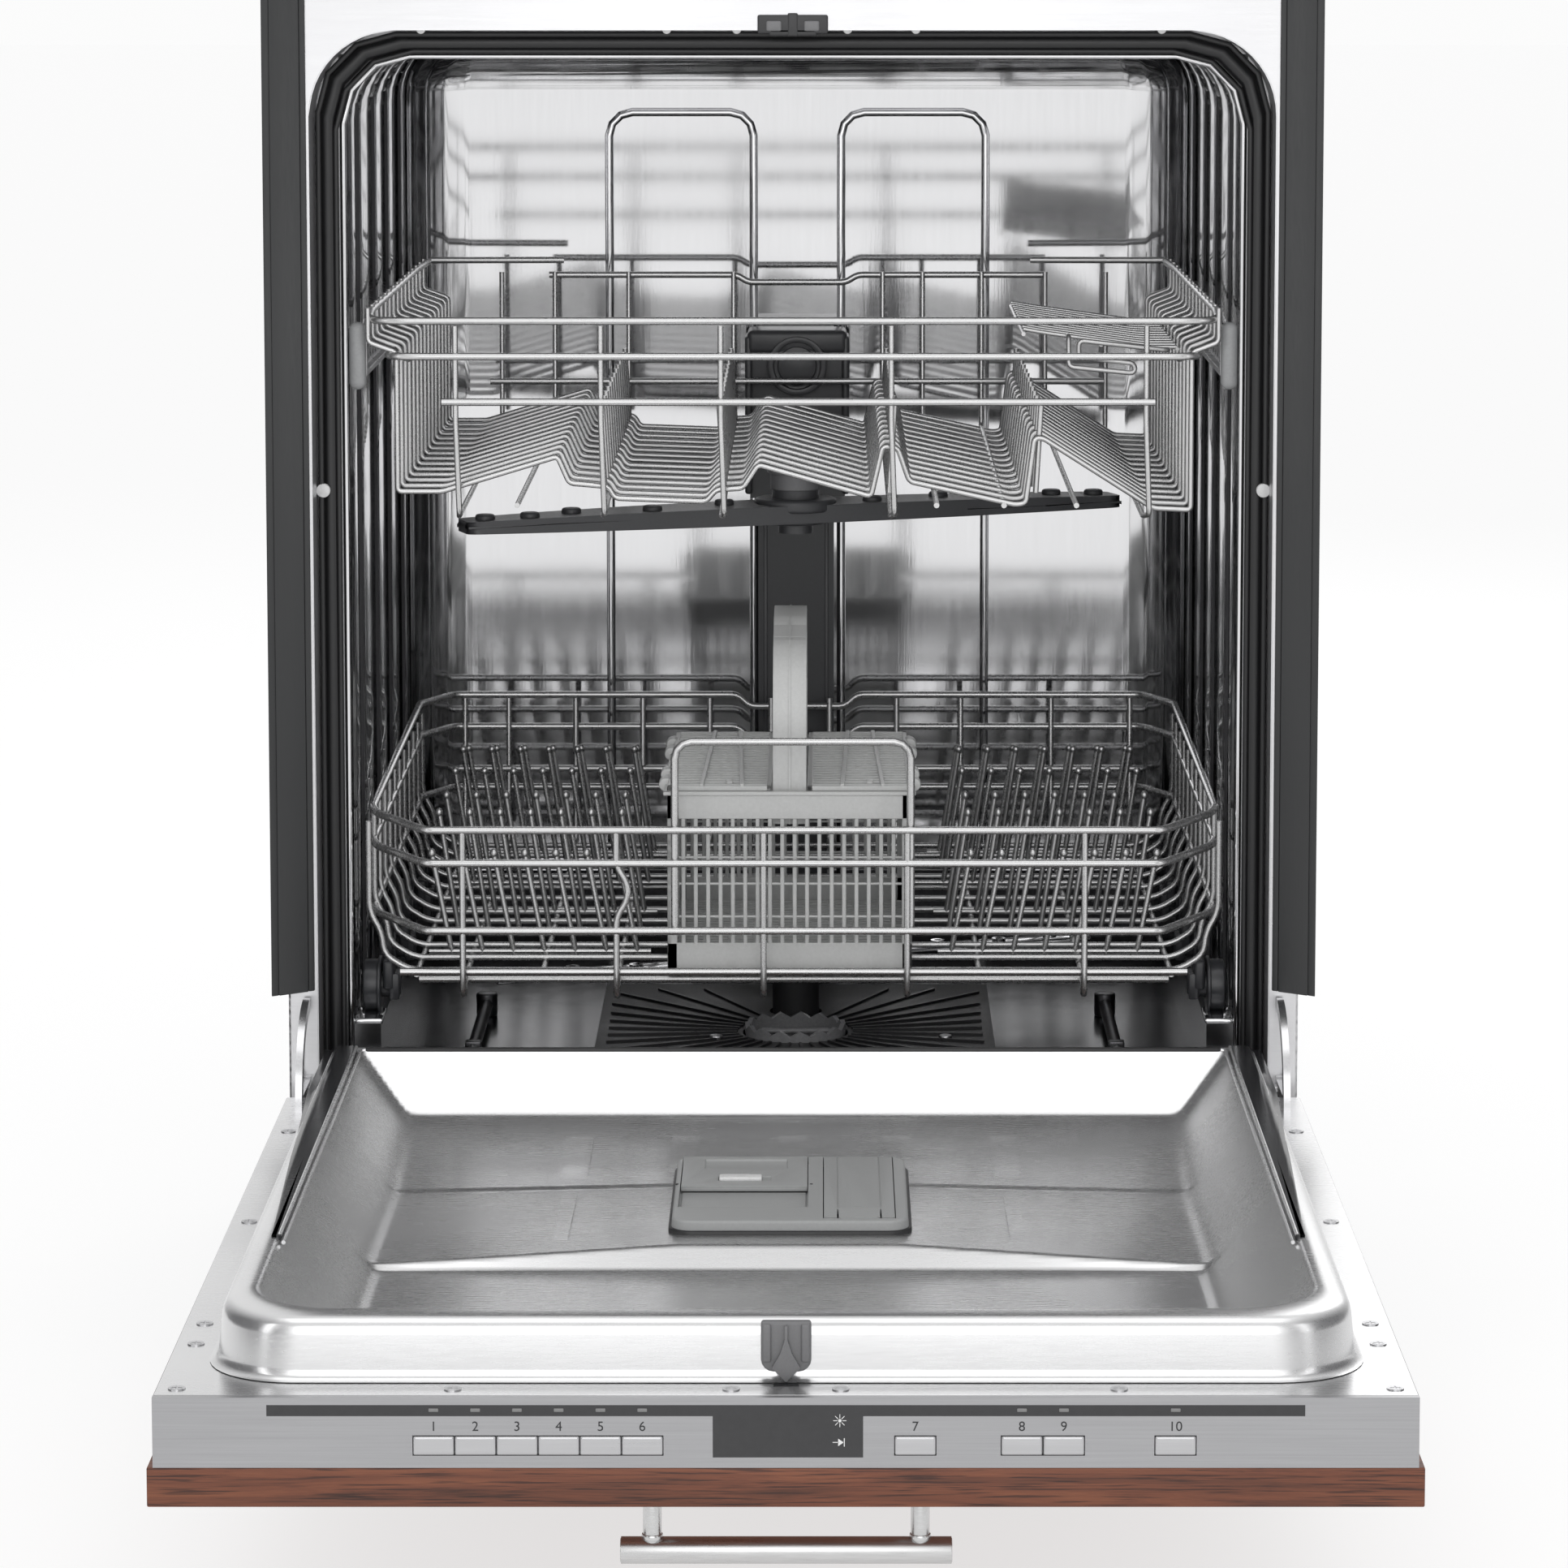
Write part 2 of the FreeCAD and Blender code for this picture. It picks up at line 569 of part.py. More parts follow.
body = new("PartDesign::Body")
board = rectangle("-panel_width / 2", "panel_width / 2", "front", "face + panel_tail")
pad(body, sketch(body, "XY_Plane", [board], "panel_face"), "panel_thick")
node("wood_panel", body)

bar_y = "front + handle_set"
bar = rod("x", "handle_bar", "-handle_long / 2", bar_y, "panel_face - handle_stand", "handle_long")
posts = [
    rod("z", "handle_post", f"{side} * handle_pitch / 2", bar_y, "panel_face - handle_stand",
        "handle_stand")
    for side in (-1, 1)
]
node("door_handle", fuse(bar, *posts))

node("wheel_tracks", group(*[
    block(x, ("face - track_front", "face - rim_rear"),
          ("deck + rim_high", "deck + rim_high + track_thick"))
    for x in mirrored("rim_half - rim_wide", "rim_half")
]))
node("door_latch", block(("-11", "11"), ("face - rim_front + rim_front_wide",
                                         "face - rim_front + rim_front_wide + 8"),
                         ("dish_floor", "deck + rim_high - 1")))
screws = []
for x in ("10 - body_width / 2", "body_width / 2 - 10"):
    for y in ("front + 15", "front + 93", "front + 130", "front + 333", "front + 541"):
        screws.append(rod("z", "4", x, y, "deck", "screw_head"))
for x in ("-158", "-26", "26", "158"):
    screws.append(rod("z", "4", x, "front + 14", "deck", "screw_head"))
node("door_screws", group(*screws))

# ---- Dispenser ----
case_top = "dish_floor + dispenser_high"
case = block(("-dispenser_wide / 2", "dispenser_wide / 2"),
             ("face - dispenser_front", "face - dispenser_front + dispenser_long"),
             ("dish_floor", case_top))
lid_y = "face - dispenser_front + lid_set"
lid_left = "4 - dispenser_wide / 2"
lid_bay = block((f"{lid_left} - lid_gap", f"{lid_left} + lid_wide + lid_gap"),
                (f"{lid_y} - lid_travel - lid_gap", f"{lid_y} + lid_long + lid_gap"),
                (f"{case_top} - lid_thick - lid_gap", f"{case_top} + 1"))
cup = block((f"{lid_left} + 8", f"{lid_left} + lid_wide - 8"),
            (f"{lid_y} + 6", f"{lid_y} + 62"), ("dish_floor + 2", case_top))
rinse_y = "face - dispenser_front + rinse_set"
rinse_bay = block(("rinse_left - lid_gap", "rinse_left + rinse_wide + lid_gap"),
                  (f"{rinse_y} - 4", f"{rinse_y} + rinse_long + lid_gap"),
                  (f"{case_top} - lid_thick - lid_gap", f"{case_top} + 1"))
filler = rod("z", "filler", "rinse_left + rinse_wide / 2", f"{rinse_y} + rinse_long / 2",
             "dish_floor + 3", "dispenser_high + 4")
node("dispenser_body", cut(case, lid_bay, cup, rinse_bay, filler))

lid = block((lid_left, f"{lid_left} + lid_wide"), (lid_y, f"{lid_y} + lid_long"),
            (f"{case_top} - lid_thick", case_top))
slot = block((f"{lid_left} + 20", f"{lid_left} + 49.2"), (f"{lid_y} + 12", f"{lid_y} + 22"),
             (f"{case_top} - 1.6", f"{case_top} + 1"))
node("detergent_lid", cut(lid, slot))
node("lid_catch", block((f"{lid_left} + 20.6", f"{lid_left} + 44"),
                        (f"{lid_y} + 12.6", f"{lid_y} + 21.4"),
                        (f"{case_top} - 1.2", f"{case_top} + 1.5")))
flap = block(("rinse_left", "rinse_left + rinse_wide"),
             (rinse_y, f"{rinse_y} + rinse_long - lid_thick / 2"), (f"{case_top} - lid_thick", case_top))
flap_roll = rod("x", "lid_thick / 2", "rinse_left", f"{rinse_y} + rinse_long - lid_thick / 2",
                f"{case_top} - lid_thick / 2", "rinse_wide")
node("rinse_lid", fuse(flap, flap_roll))

# ---- Racks ----


def evenly(count, low, high):
    """Formulas for count places from low to high."""
    return [f"{low} + ({high} - ({low})) * {n} / {count - 1}" for n in range(count)]


def basket_of_wires(half, top_z, floor_z, length, side_count, front_x, extra_rails):
    """The common wire lattice of both racks: four top rails, uprights, and a floor of crossed wires."""
    back = f"rack_y + {length}"
    inside = f"{half} - rail_wire - rack_wire"
    wires = [wire("x", f"-({half})", half, (y, top_z), "rail_wire") for y in ("rack_y", back)]
    for side in ("-1", "1"):
        wires.append(wire("y", "rack_y + rail_wire", f"{back} - rail_wire",
                          (f"{side} * {half}", top_z), "rail_wire"))
    rows = evenly(side_count, "rack_y + 14", f"{back} - 14")
    for y in rows:
        wires.append(wire("x", f"rack_wire + 0.2 - ({inside})", f"{inside} - rack_wire - 0.2",
                          (y, floor_z)))
    for y in rows[::2]:
        for side in ("-1", "1"):
            wires.append(wire("z", f"{floor_z} - 2", top_z, (f"{side} * ({inside})", y)))
    for x in ("-3", "-1", "1", "3"):
        wires.append(wire("y", "rack_y", back, (f"{x} * ({half}) / 4", f"{floor_z} - 2 * rack_wire")))
    for x in front_x:
        for y in ("rack_y + rail_wire + rack_wire", f"{back} - rail_wire - rack_wire"):
            wires.append(wire("z", f"{floor_z} - rack_wire", top_z, (x, y)))
    for z in extra_rails:
        wires.append(wire("x", f"8 - ({half})", f"{half} - 8", ("rack_y + rail_wire - rack_wire", z)))
    return wires


upper = basket_of_wires("upper_half", "deck + upper_top", "deck + upper_floor", "upper_depth", 13,
                        ("-0.87 * upper_half", "-0.53 * upper_half", "-0.24 * upper_half",
                         "0.24 * upper_half", "0.6 * upper_half", "0.87 * upper_half"),
                        ("deck + upper_top - 21", "deck + upper_top - 48"))
tines_at = evenly(9, "-0.8 * upper_half", "0.32 * upper_half")
for y in ("rack_y + 0.3 * upper_depth", "rack_y + 0.62 * upper_depth"):
    base = "deck + upper_floor + 2 * rack_wire"
    upper.append(wire("x", "-0.9 * upper_half", "0.42 * upper_half", (y, base)))
    for x in tines_at:
        upper.append(wire("z", f"{base} + rack_wire", "deck + upper_floor + 62", (x, y)))
node("upper_rack", group(*upper))

spine_x, spine_z = "upper_half - shelf_inset", "deck + upper_top - shelf_drop"
comb = [rod("y", "2.5", spine_x, "rack_y + 70", spine_z, "230")]
for y in evenly(9, "rack_y + 76", "rack_y + 294"):
    comb.append(wire("x", f"{spine_x} - shelf_long", f"{spine_x} - 2.5", (y, spine_z)))
node("cup_shelf", group(*comb))

tube = rod("y", "pipe_radius", "0", "upper_y", "deck + pipe_high",
           "dock_front - socket - 1 - upper_hub")
collar = rod("z", "15", "0", "upper_y", "deck + upper_arm + upper_arm_thick + 0.5", "22")
pin = rod("z", "spindle", "0", "upper_y", "deck + upper_arm - 4", "upper_arm_thick + 10")
knob = rod("z", "11", "0", "upper_y", "deck + upper_arm - 8", "7.5")
node("rack_feed_pipe", fuse(tube, collar, pin, knob))


def spray_arm(reach, wide, thick, y, z):
    """A long flat arm with round ends, bored for its spindle and turned a little about it."""
    blade = block((f"{wide} / 2 - {reach}", f"{reach} - {wide} / 2"),
                  (f"-{wide} / 2", f"{wide} / 2"), ("0", thick))
    ends = [rod("z", f"{wide} / 2", f"{side} * ({reach} - {wide} / 2)", "0", "0", thick)
            for side in (-1, 1)]
    arm = cut(fuse(blade, *ends), rod("z", "spindle + spindle_play", "0", "0", "-5", "40"))
    arm.Placement = FreeCAD.Placement(FreeCAD.Vector(),
                                      FreeCAD.Rotation(FreeCAD.Vector(0, 0, 1), 20))
    bind(arm, "Placement.Base.y", y)
    bind(arm, "Placement.Base.z", z)
    return arm


node("upper_spray_arm", spray_arm("upper_reach", "upper_arm_wide", "upper_arm_thick", "upper_y",
                                  "deck + upper_arm"))
node("lower_spray_arm", spray_arm("lower_reach", "lower_arm_wide", "lower_arm_thick", "lower_y",
                                  "deck + lower_arm"))

lower = basket_of_wires("lower_half", "deck + lower_top", "deck + lower_floor", "lower_depth", 13,
                        ("-0.86 * lower_half", "-0.5 * lower_half", "-0.14 * lower_half",
                         "0.2 * lower_half", "0.53 * lower_half", "0.86 * lower_half"),
                        ("deck + lower_top - 20", "deck + lower_top - 61"))
for y in ("rack_y + 0.82 * lower_depth", "rack_y + 0.92 * lower_depth"):
    base = "deck + lower_floor + 2 * rack_wire"
    lower.append(wire("x", "-0.92 * lower_half", "0.92 * lower_half", (y, base)))
    for x in evenly(6, "-0.9 * lower_half", "-0.42 * lower_half") + evenly(
        6, "0.42 * lower_half", "0.9 * lower_half"
    ):
        lower.append(wire("z", f"{base} + rack_wire", "deck + lower_floor + tine_high", (x, y)))
node("lower_rack", group(*lower))

row_z = "deck + lower_floor + rack_wire + 3"
tine_row = [rod("x", "2.2", "-0.92 * lower_half", "fold_y", row_z, "1.84 * lower_half")]
for x in evenly(7, "-0.9 * lower_half", "-0.38 * lower_half") + evenly(
    7, "0.38 * lower_half", "0.9 * lower_half"
):
    tine_row.append(wire("z", f"{row_z} + 2.2", "deck + lower_floor + tine_high", (x, "fold_y")))
node("folding_tines", group(*tine_row))

wheels = []
for low, high in mirrored("wheel_inner", "wheel_inner + wheel_wide"):
    for y in ("rack_y + 40", "rack_y + 160", "rack_y + 300", "rack_y + lower_depth - 40"):
        roller = rod("x", "wheel_radius", low, y, "deck + wheel_lift", "wheel_wide")
        clip_x = ("lower_half - 3", "wheel_inner") if low == "wheel_inner" else (
            "-wheel_inner", "3 - lower_half")
        clip = block(clip_x, (f"{y} - 10", f"{y} + 10"), ("deck + wheel_lift - 8", "deck + wheel_lift + 9"))
        wheels.append(fuse(roller, clip))
node("rack_wheels", group(*wheels))

# ---- Cutlery basket ----
shell = block(("basket_left", "basket_right"), ("basket_y", "basket_y + basket_long"),
              ("deck + basket_base", "deck + basket_top"))
room = block(
    ("basket_left + basket_wall", "basket_right - basket_wall"),
    ("basket_y + basket_wall", "basket_y + basket_long - basket_wall"),
    ("deck + basket_base + basket_wall", "deck + basket_top + 1"),
)
strap_x = ("(basket_left + basket_right - strap_wide) / 2",
           "(basket_left + basket_right + strap_wide) / 2")
strap = [
    block(strap_x, (y, f"{y} + 3"), ("deck + basket_base", "deck + strap_top"))
    for y in ("basket_y", "basket_y + basket_long - 3")
]
strap.append(block(strap_x, ("basket_y", "basket_y + basket_long"),
                   ("deck + strap_top - 4", "deck + strap_top")))
rib = block(("(basket_left + basket_right) / 2 - 1", "(basket_left + basket_right) / 2 + 1"),
            ("basket_y", "basket_y + basket_long"), ("deck + basket_base", "deck + basket_top"))
node("cutlery_basket", fuse(cut(shell, room), *strap, rib))

lid_z = "deck + basket_top + 0.3"
left_span = ("basket_left + 1.5", f"{strap_x[0]} - 1")
right_span = (f"{strap_x[1]} + 1", "basket_right - 1.5")
for side, span, hinge in (("left", left_span, left_span[0]), ("right", right_span, right_span[1])):
    grille = block(span, ("basket_y + 4", "basket_y + basket_long - 4"),
                   (lid_z, f"{lid_z} + grille_thick"))
    roll = rod("y", "grille_thick / 2", hinge, "basket_y + 4", f"{lid_z} + grille_thick / 2",
               "basket_long - 8")
    node(f"basket_lid_{side}", fuse(grille, roll))

# ---- Check and export ----
doc.recompute()
for thing in doc.Objects:
    if "Invalid" in thing.State or "Error" in thing.State:
        raise RuntimeError(f"{thing.Label} failed: {thing.State}")
for thing in nodes:
    if thing.Shape.isNull() or not thing.Shape.isValid():
        raise RuntimeError(f"{thing.Label} has no valid shape")
for thing in nodes:
    thing.Shape.exportStep(f"parts/{thing.Label}.step")
print(len(nodes), "sub-parts")
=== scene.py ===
import json
import math

import bmesh
import bpy
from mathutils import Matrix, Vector

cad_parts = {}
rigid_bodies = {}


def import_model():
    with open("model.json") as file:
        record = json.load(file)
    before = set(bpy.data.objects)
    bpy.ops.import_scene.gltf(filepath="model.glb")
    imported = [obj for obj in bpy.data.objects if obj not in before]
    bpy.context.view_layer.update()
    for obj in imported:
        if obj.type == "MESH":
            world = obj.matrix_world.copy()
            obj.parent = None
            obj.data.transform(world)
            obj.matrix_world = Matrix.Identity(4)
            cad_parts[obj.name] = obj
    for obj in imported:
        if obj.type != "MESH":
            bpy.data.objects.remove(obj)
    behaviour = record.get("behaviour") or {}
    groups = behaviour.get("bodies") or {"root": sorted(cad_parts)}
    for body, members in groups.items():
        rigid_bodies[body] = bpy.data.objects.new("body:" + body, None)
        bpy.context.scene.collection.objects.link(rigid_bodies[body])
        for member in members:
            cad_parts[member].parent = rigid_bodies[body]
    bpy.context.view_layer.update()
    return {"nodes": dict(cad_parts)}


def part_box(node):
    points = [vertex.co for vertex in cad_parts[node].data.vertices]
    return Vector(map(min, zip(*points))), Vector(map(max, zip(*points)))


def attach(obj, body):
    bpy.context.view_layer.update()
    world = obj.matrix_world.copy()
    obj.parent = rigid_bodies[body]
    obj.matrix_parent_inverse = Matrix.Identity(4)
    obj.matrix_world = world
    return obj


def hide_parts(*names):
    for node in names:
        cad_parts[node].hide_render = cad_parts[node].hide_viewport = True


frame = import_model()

bpy.ops.object.select_all(action="DESELECT")

# ---------------------------------------------------------------------------
# Studio. The dishwasher stands on a plain pale floor in a soft white studio that is dark at
# its sides, so that polished steel shows both. The camera looks in over the open door.
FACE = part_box("front_flange")[0].y
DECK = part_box("control_panel")[1].z
scene = bpy.context.scene
camera = bpy.data.objects.new("camera", bpy.data.cameras.new("camera"))
scene.collection.objects.link(camera)
scene.camera = camera
camera.location = (0.0175, FACE - 3.0715, DECK + 0.7008)
camera.rotation_euler = (math.radians(90 - 6.15), 0, 0)
camera.data.sensor_width = 36
camera.data.lens = 121
camera.data.shift_x = -0.0248
camera.data.shift_y = -0.2
scene.view_settings.view_transform = "Standard"


def add(nodes, kind, **values):
    """A new shader node with its sockets set."""
    made = nodes.new("ShaderNode" + kind)
    for socket, value in values.items():
        made.inputs[socket.replace("_", " ")].default_value = value
    return made


def ramp(nodes, *stops):
    """A colour ramp between two stops, each a place and a colour."""
    made = add(nodes, "ValToRGB")
    for stop, (place, colour) in zip(made.color_ramp.elements, stops):
        stop.position = place
        stop.color = tuple(colour) + (1,)
    return made


world = bpy.data.worlds.new("studio")
scene.world = world
world.use_nodes = True
nodes, links = world.node_tree.nodes, world.node_tree.links
background = nodes["Background"]
background.inputs["Strength"].default_value = 1.0
direction = add(nodes, "TexCoord")
axes = add(nodes, "SeparateXYZ")
sideways = add(nodes, "Math")
sideways.operation = "ABSOLUTE"
fall = ramp(nodes, (0.30, (0.97, 0.97, 0.97)), (0.85, (0.16, 0.16, 0.165)))
links.new(direction.outputs["Generated"], axes.inputs[0])
links.new(axes.outputs["X"], sideways.inputs[0])
links.new(sideways.outputs[0], fall.inputs[0])
links.new(fall.outputs["Color"], background.inputs["Color"])


def softbox(name, place, aim, width, height, power):
    """A soft rectangular light, turned to the point it lights."""
    lamp = bpy.data.lights.new(name, "AREA")
    lamp.shape = "RECTANGLE"
    lamp.size, lamp.size_y, lamp.energy = width, height, power
    light = bpy.data.objects.new(name, lamp)
    light.location = place
    light.rotation_euler = (Vector(aim) - Vector(place)).to_track_quat("-Z", "Y").to_euler()
    scene.collection.objects.link(light)


softbox("overhead_light", (0, -0.6, 3.2), (0, -0.2, 0.2), 2.6, 2.0, 15)
softbox("front_light", (0, -4.4, 1.6), (0, 0.2, 0.5), 3.4, 2.4, 34)
softbox("left_light", (-2.6, -2.2, 1.4), (0, 0, 0.4), 0.5, 2.2, 8)
softbox("right_light", (2.6, -2.2, 1.4), (0, 0, 0.4), 0.5, 2.2, 8)
softbox("back_light", (0.8, 3.2, 2.2), (0, 0.4, 0.4), 2.4, 2.0, 18)

bpy.ops.mesh.primitive_plane_add(size=60, location=(0, 0, 0))
ground = bpy.context.object
ground.name = "floor"
paper = bpy.data.materials.new("studio_paper")
paper.use_nodes = True
matte = paper.node_tree.nodes["Principled BSDF"].inputs
matte["Base Color"].default_value = (0.3, 0.3, 0.3, 1)
matte["Roughness"].default_value = 0.9
matte["Emission Color"].default_value = (1, 1, 1, 1)
matte["Emission Strength"].default_value = 0.7
ground.data.materials.append(paper)


# ---------------------------------------------------------------------------
# Base. A frame of folded galvanised steel stands on four rubber-footed levelling screws and
# carries the tub. A painted kick plate is screwed across its front, with a vent slot row.
def finish(name, colour, rough, grain, depth=0.0, tone=0.06, metallic=0.0, coat=0.0, patch=5.0):
    """A surface with its fine grain, given as repeats per metre along x, y and z, its
    roughness worn unevenly in patches, and a bump of the grain's depth in metres."""
    material = bpy.data.materials.new(name)
    material.use_nodes = True
    nodes, links = material.node_tree.nodes, material.node_tree.links
    shader = nodes["Principled BSDF"]
    shader.inputs["Metallic"].default_value = metallic
    shader.inputs["Coat Weight"].default_value = coat
    shader.inputs["Coat Roughness"].default_value = 0.12
    place = add(nodes, "TexCoord")
    stretch = add(nodes, "Mapping", Scale=grain)
    fine = add(nodes, "TexNoise", Scale=1, Detail=5, Roughness=0.65)
    wear = add(nodes, "TexNoise", Scale=patch, Detail=3)
    links.new(place.outputs["Object"], stretch.inputs["Vector"])
    links.new(place.outputs["Object"], wear.inputs["Vector"])
    links.new(stretch.outputs["Vector"], fine.inputs["Vector"])
    dark, light = [c * (1 - tone) for c in colour], [min(1, c * (1 + tone)) for c in colour]
    shades = ramp(nodes, (0.3, dark), (0.7, light))
    links.new(fine.outputs["Fac"], shades.inputs["Fac"])
    links.new(shades.outputs["Color"], shader.inputs["Base Color"])
    both = add(nodes, "Math")
    both.operation = "ADD"
    links.new(fine.outputs["Fac"], both.inputs[0])
    links.new(wear.outputs["Fac"], both.inputs[1])
    spread = add(nodes, "MapRange", From_Min=0.6, From_Max=1.4, To_Min=rough * 0.75,
                 To_Max=min(1, rough * 1.3))
    links.new(both.outputs[0], spread.inputs["Value"])
    links.new(spread.outputs[0], shader.inputs["Roughness"])
    if depth:
        relief = add(nodes, "Bump", Strength=0.6, Distance=depth)
        links.new(fine.outputs["Fac"], relief.inputs["Height"])
        links.new(relief.outputs["Normal"], shader.inputs["Normal"])
    return material


def clad(material, *names):
    """These CAD nodes keep their shape and take the finish."""
    for name in names:
        for place in frame["nodes"][name].material_slots:
            place.material = material


def start(name):
    """The primitive just added is a named piece, with its place in its mesh."""
    piece = bpy.context.object
    bpy.ops.object.transform_apply(location=True, rotation=True, scale=True)
    piece.name = name
    return piece


def block(name, low, high):
    bpy.ops.object.select_all(action="DESELECT")
    low, high = Vector(low), Vector(high)
    bpy.ops.mesh.primitive_cube_add(size=1, location=(low + high) / 2, scale=high - low)
    return start(name)


def drum(name, axis, centre, radius, length, sides=40):
    bpy.ops.object.select_all(action="DESELECT")
    quarter = math.pi / 2
    turn = {"x": (0, quarter, 0), "y": (quarter, 0, 0), "z": (0, 0, 0)}[axis]
    bpy.ops.mesh.primitive_cylinder_add(vertices=sides, radius=radius, depth=length,
                                        location=centre, rotation=turn)
    return start(name)


def alone(piece):
    """Only this piece is selected and active."""
    bpy.ops.object.select_all(action="DESELECT")
    piece.select_set(True)
    bpy.context.view_layer.objects.active = piece


def settle(piece):
    """The piece's place and turn go into its mesh."""
    alone(piece)
    bpy.ops.object.transform_apply(location=True, rotation=True, scale=True)


def apply(piece, kind, **values):
    """Adds a modifier, sets it and applies it."""
    alone(piece)
    modifier = piece.modifiers.new(kind.lower(), kind)
    for key, value in values.items():
        setattr(modifier, key, value)
    bpy.ops.object.modifier_apply(modifier=modifier.name)
    return piece


def round_edges(piece, width, segments=3, angle=35):
    apply(piece, "BEVEL", width=width, segments=segments, limit_method="ANGLE",
          angle_limit=math.radians(angle))
    bpy.ops.object.shade_smooth_by_angle(angle=math.radians(40))
    return piece


def slab(name, low, high, width, segments=3, angle=35):
    """A block with rounded edges."""
    return round_edges(block(name, low, high), width, segments, angle)


def turned(name, axis, centre, radius, length, sides, width, segments=3):
    """A drum with rounded edges."""
    return round_edges(drum(name, axis, centre, radius, length, sides), width, segments)


def edit(piece, kind, test):
    """Goes into edit mode with only the faces or edges that pass the test selected."""
    alone(piece)
    bpy.ops.object.mode_set(mode="EDIT")
    bpy.ops.mesh.select_mode(type={"face": "FACE", "edge": "EDGE", "vert": "VERT"}[kind])
    bpy.ops.mesh.select_all(action="DESELECT")
    mesh = bmesh.from_edit_mesh(piece.data)
    mesh.normal_update()
    for part in {"face": mesh.faces, "edge": mesh.edges, "vert": mesh.verts}[kind]:
        if test(part):
            part.select_set(True)
    mesh.select_flush_mode()
    bmesh.update_edit_mesh(piece.data)


def push(x, y, z):
    """Extrudes the selection by this step."""
    bpy.ops.mesh.extrude_region_move(TRANSFORM_OT_translate={"value": (x, y, z)})


def done():
    bpy.ops.object.mode_set(mode="OBJECT")


def join(name, *pieces):
    bpy.ops.object.select_all(action="DESELECT")
    for piece in pieces:
        piece.select_set(True)
    bpy.context.view_layer.objects.active = pieces[0]
    bpy.ops.object.join()
    pieces[0].name = name
    return pieces[0]


def across(piece, name):
    """A copy on the other side of the middle plane, facing outwards."""
    alone(piece)
    bpy.ops.object.duplicate()
    twin = bpy.context.object
    twin.scale.x = -1
    bpy.ops.object.transform_apply(location=True, rotation=True, scale=True)
    bpy.ops.object.mode_set(mode="EDIT")
    bpy.ops.mesh.select_all(action="SELECT")
    bpy.ops.mesh.normals_make_consistent(inside=False)
    done()
    twin.name = name
    return twin


def fit(piece, material, body, slot, *nodes):
    """The piece takes its finish, rides its body and stands for its CAD nodes."""
    piece.data.materials.clear()
    piece.data.materials.append(material)
    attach(piece, body)
    if nodes:
        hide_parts(*nodes)
    return piece


galvanised = finish("galvanised_steel", (0.62, 0.63, 0.64), 0.38, (60, 60, 60), 0.0001, 0.16, 1.0)
kick_paint = finish("kick_plate_paint", (0.028, 0.028, 0.03), 0.42, (900, 900, 900), 0.00008)
foot_rubber = finish("foot_rubber", (0.02, 0.02, 0.021), 0.75, (500, 500, 500), 0.0001)
clad(galvanised, "base_frame")
clad(foot_rubber, "levelling_feet")

low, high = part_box("toe_kick")
plate = block("kick_plate", low, high)
round_edges(plate, 0.002, 2)
vents = []
for n in range(24):
    x = low.x + 0.11 + n * (high.x - low.x - 0.22) / 23
    vent = block(f"vent_{n}", (x - 0.004, low.y - 0.01, low.z + 0.03),
                 (x + 0.004, high.y + 0.01, low.z + 0.06))
    vents.append(vent)
slots = join("vent_slots", *vents)


def cut(piece, tool):
    """Cuts the tool's shape out of the piece and takes the tool away."""
    apply(piece, "BOOLEAN", operation="DIFFERENCE", object=tool, solver="EXACT")
    bpy.data.objects.remove(tool)
    return piece


cut(plate, slots)
fit(plate, kick_paint, "cabinet", "dark_plastic", "toe_kick")


# ---------------------------------------------------------------------------
# Machinery under the tub. The circulation pump, drain pump and sump are moulded in dark
# glass-filled plastic, the valve and the junction box in grey, and clamps are zinc plated.
machine_plastic = finish("machine_plastic", (0.03, 0.03, 0.032), 0.45, (700, 700, 700), 0.0001)
casing_grey = finish("casing_grey", (0.30, 0.30, 0.30), 0.5, (700, 700, 700), 0.0001)
clad(machine_plastic, "sump", "circulation_pump", "drain_pump")
clad(casing_grey, "inlet_valve", "junction_box")
bands = []
for name in ("circulation_pump", "drain_pump"):
    low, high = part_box(name)
    middle = (low + high) / 2
    long = "x" if high.x - low.x > high.y - low.y else "y"
    radius = (high.z - low.z) / 2
    band = drum(f"{name}_band", long, middle, radius + 0.0012, 0.009, 48)
    round_edges(band, 0.001, 2)
    bands.append(band)
fit(join("pump_clamps", *bands), galvanised, "cabinet", "zinc")


# ---------------------------------------------------------------------------
# Tub. One polished stainless sheet is wrapped into the two fluted sides and the roof and is
# seam welded to the back panel. Two raised beads stiffen the back on each side of the duct.
def at(x, depth, height):
    """A point given in millimetres: from the middle, behind the flange, above the deck."""
    return Vector((x / 1000, FACE + depth / 1000, DECK + height / 1000))


def lay_run(points, corner, steps=3):
    """In edit mode, draws a run from its first point and rounds its inner corners, in mm."""
    bpy.ops.mesh.select_all(action="DESELECT")
    bpy.ops.mesh.primitive_plane_add(size=0.001, location=points[0])
    bpy.ops.mesh.merge(type="CENTER")
    for here, there in zip(points, points[1:]):
        bpy.ops.mesh.extrude_vertices_move(TRANSFORM_OT_translate={"value": there - here})
    bpy.ops.mesh.select_linked()
    if len(points) > 2:
        if (points[0] - points[-1]).length < 1e-6:
            bpy.ops.mesh.remove_doubles(threshold=0.0001)
        mesh = bmesh.from_edit_mesh(bpy.context.object.data)
        for vertex in mesh.verts:
            if vertex.select and len(vertex.link_edges) < 2:
                vertex.select_set(False)
        bmesh.update_edit_mesh(bpy.context.object.data)
        bpy.ops.mesh.bevel(offset=corner / 1000, offset_type="OFFSET", segments=steps,
                           affect="VERTICES", clamp_overlap=True)


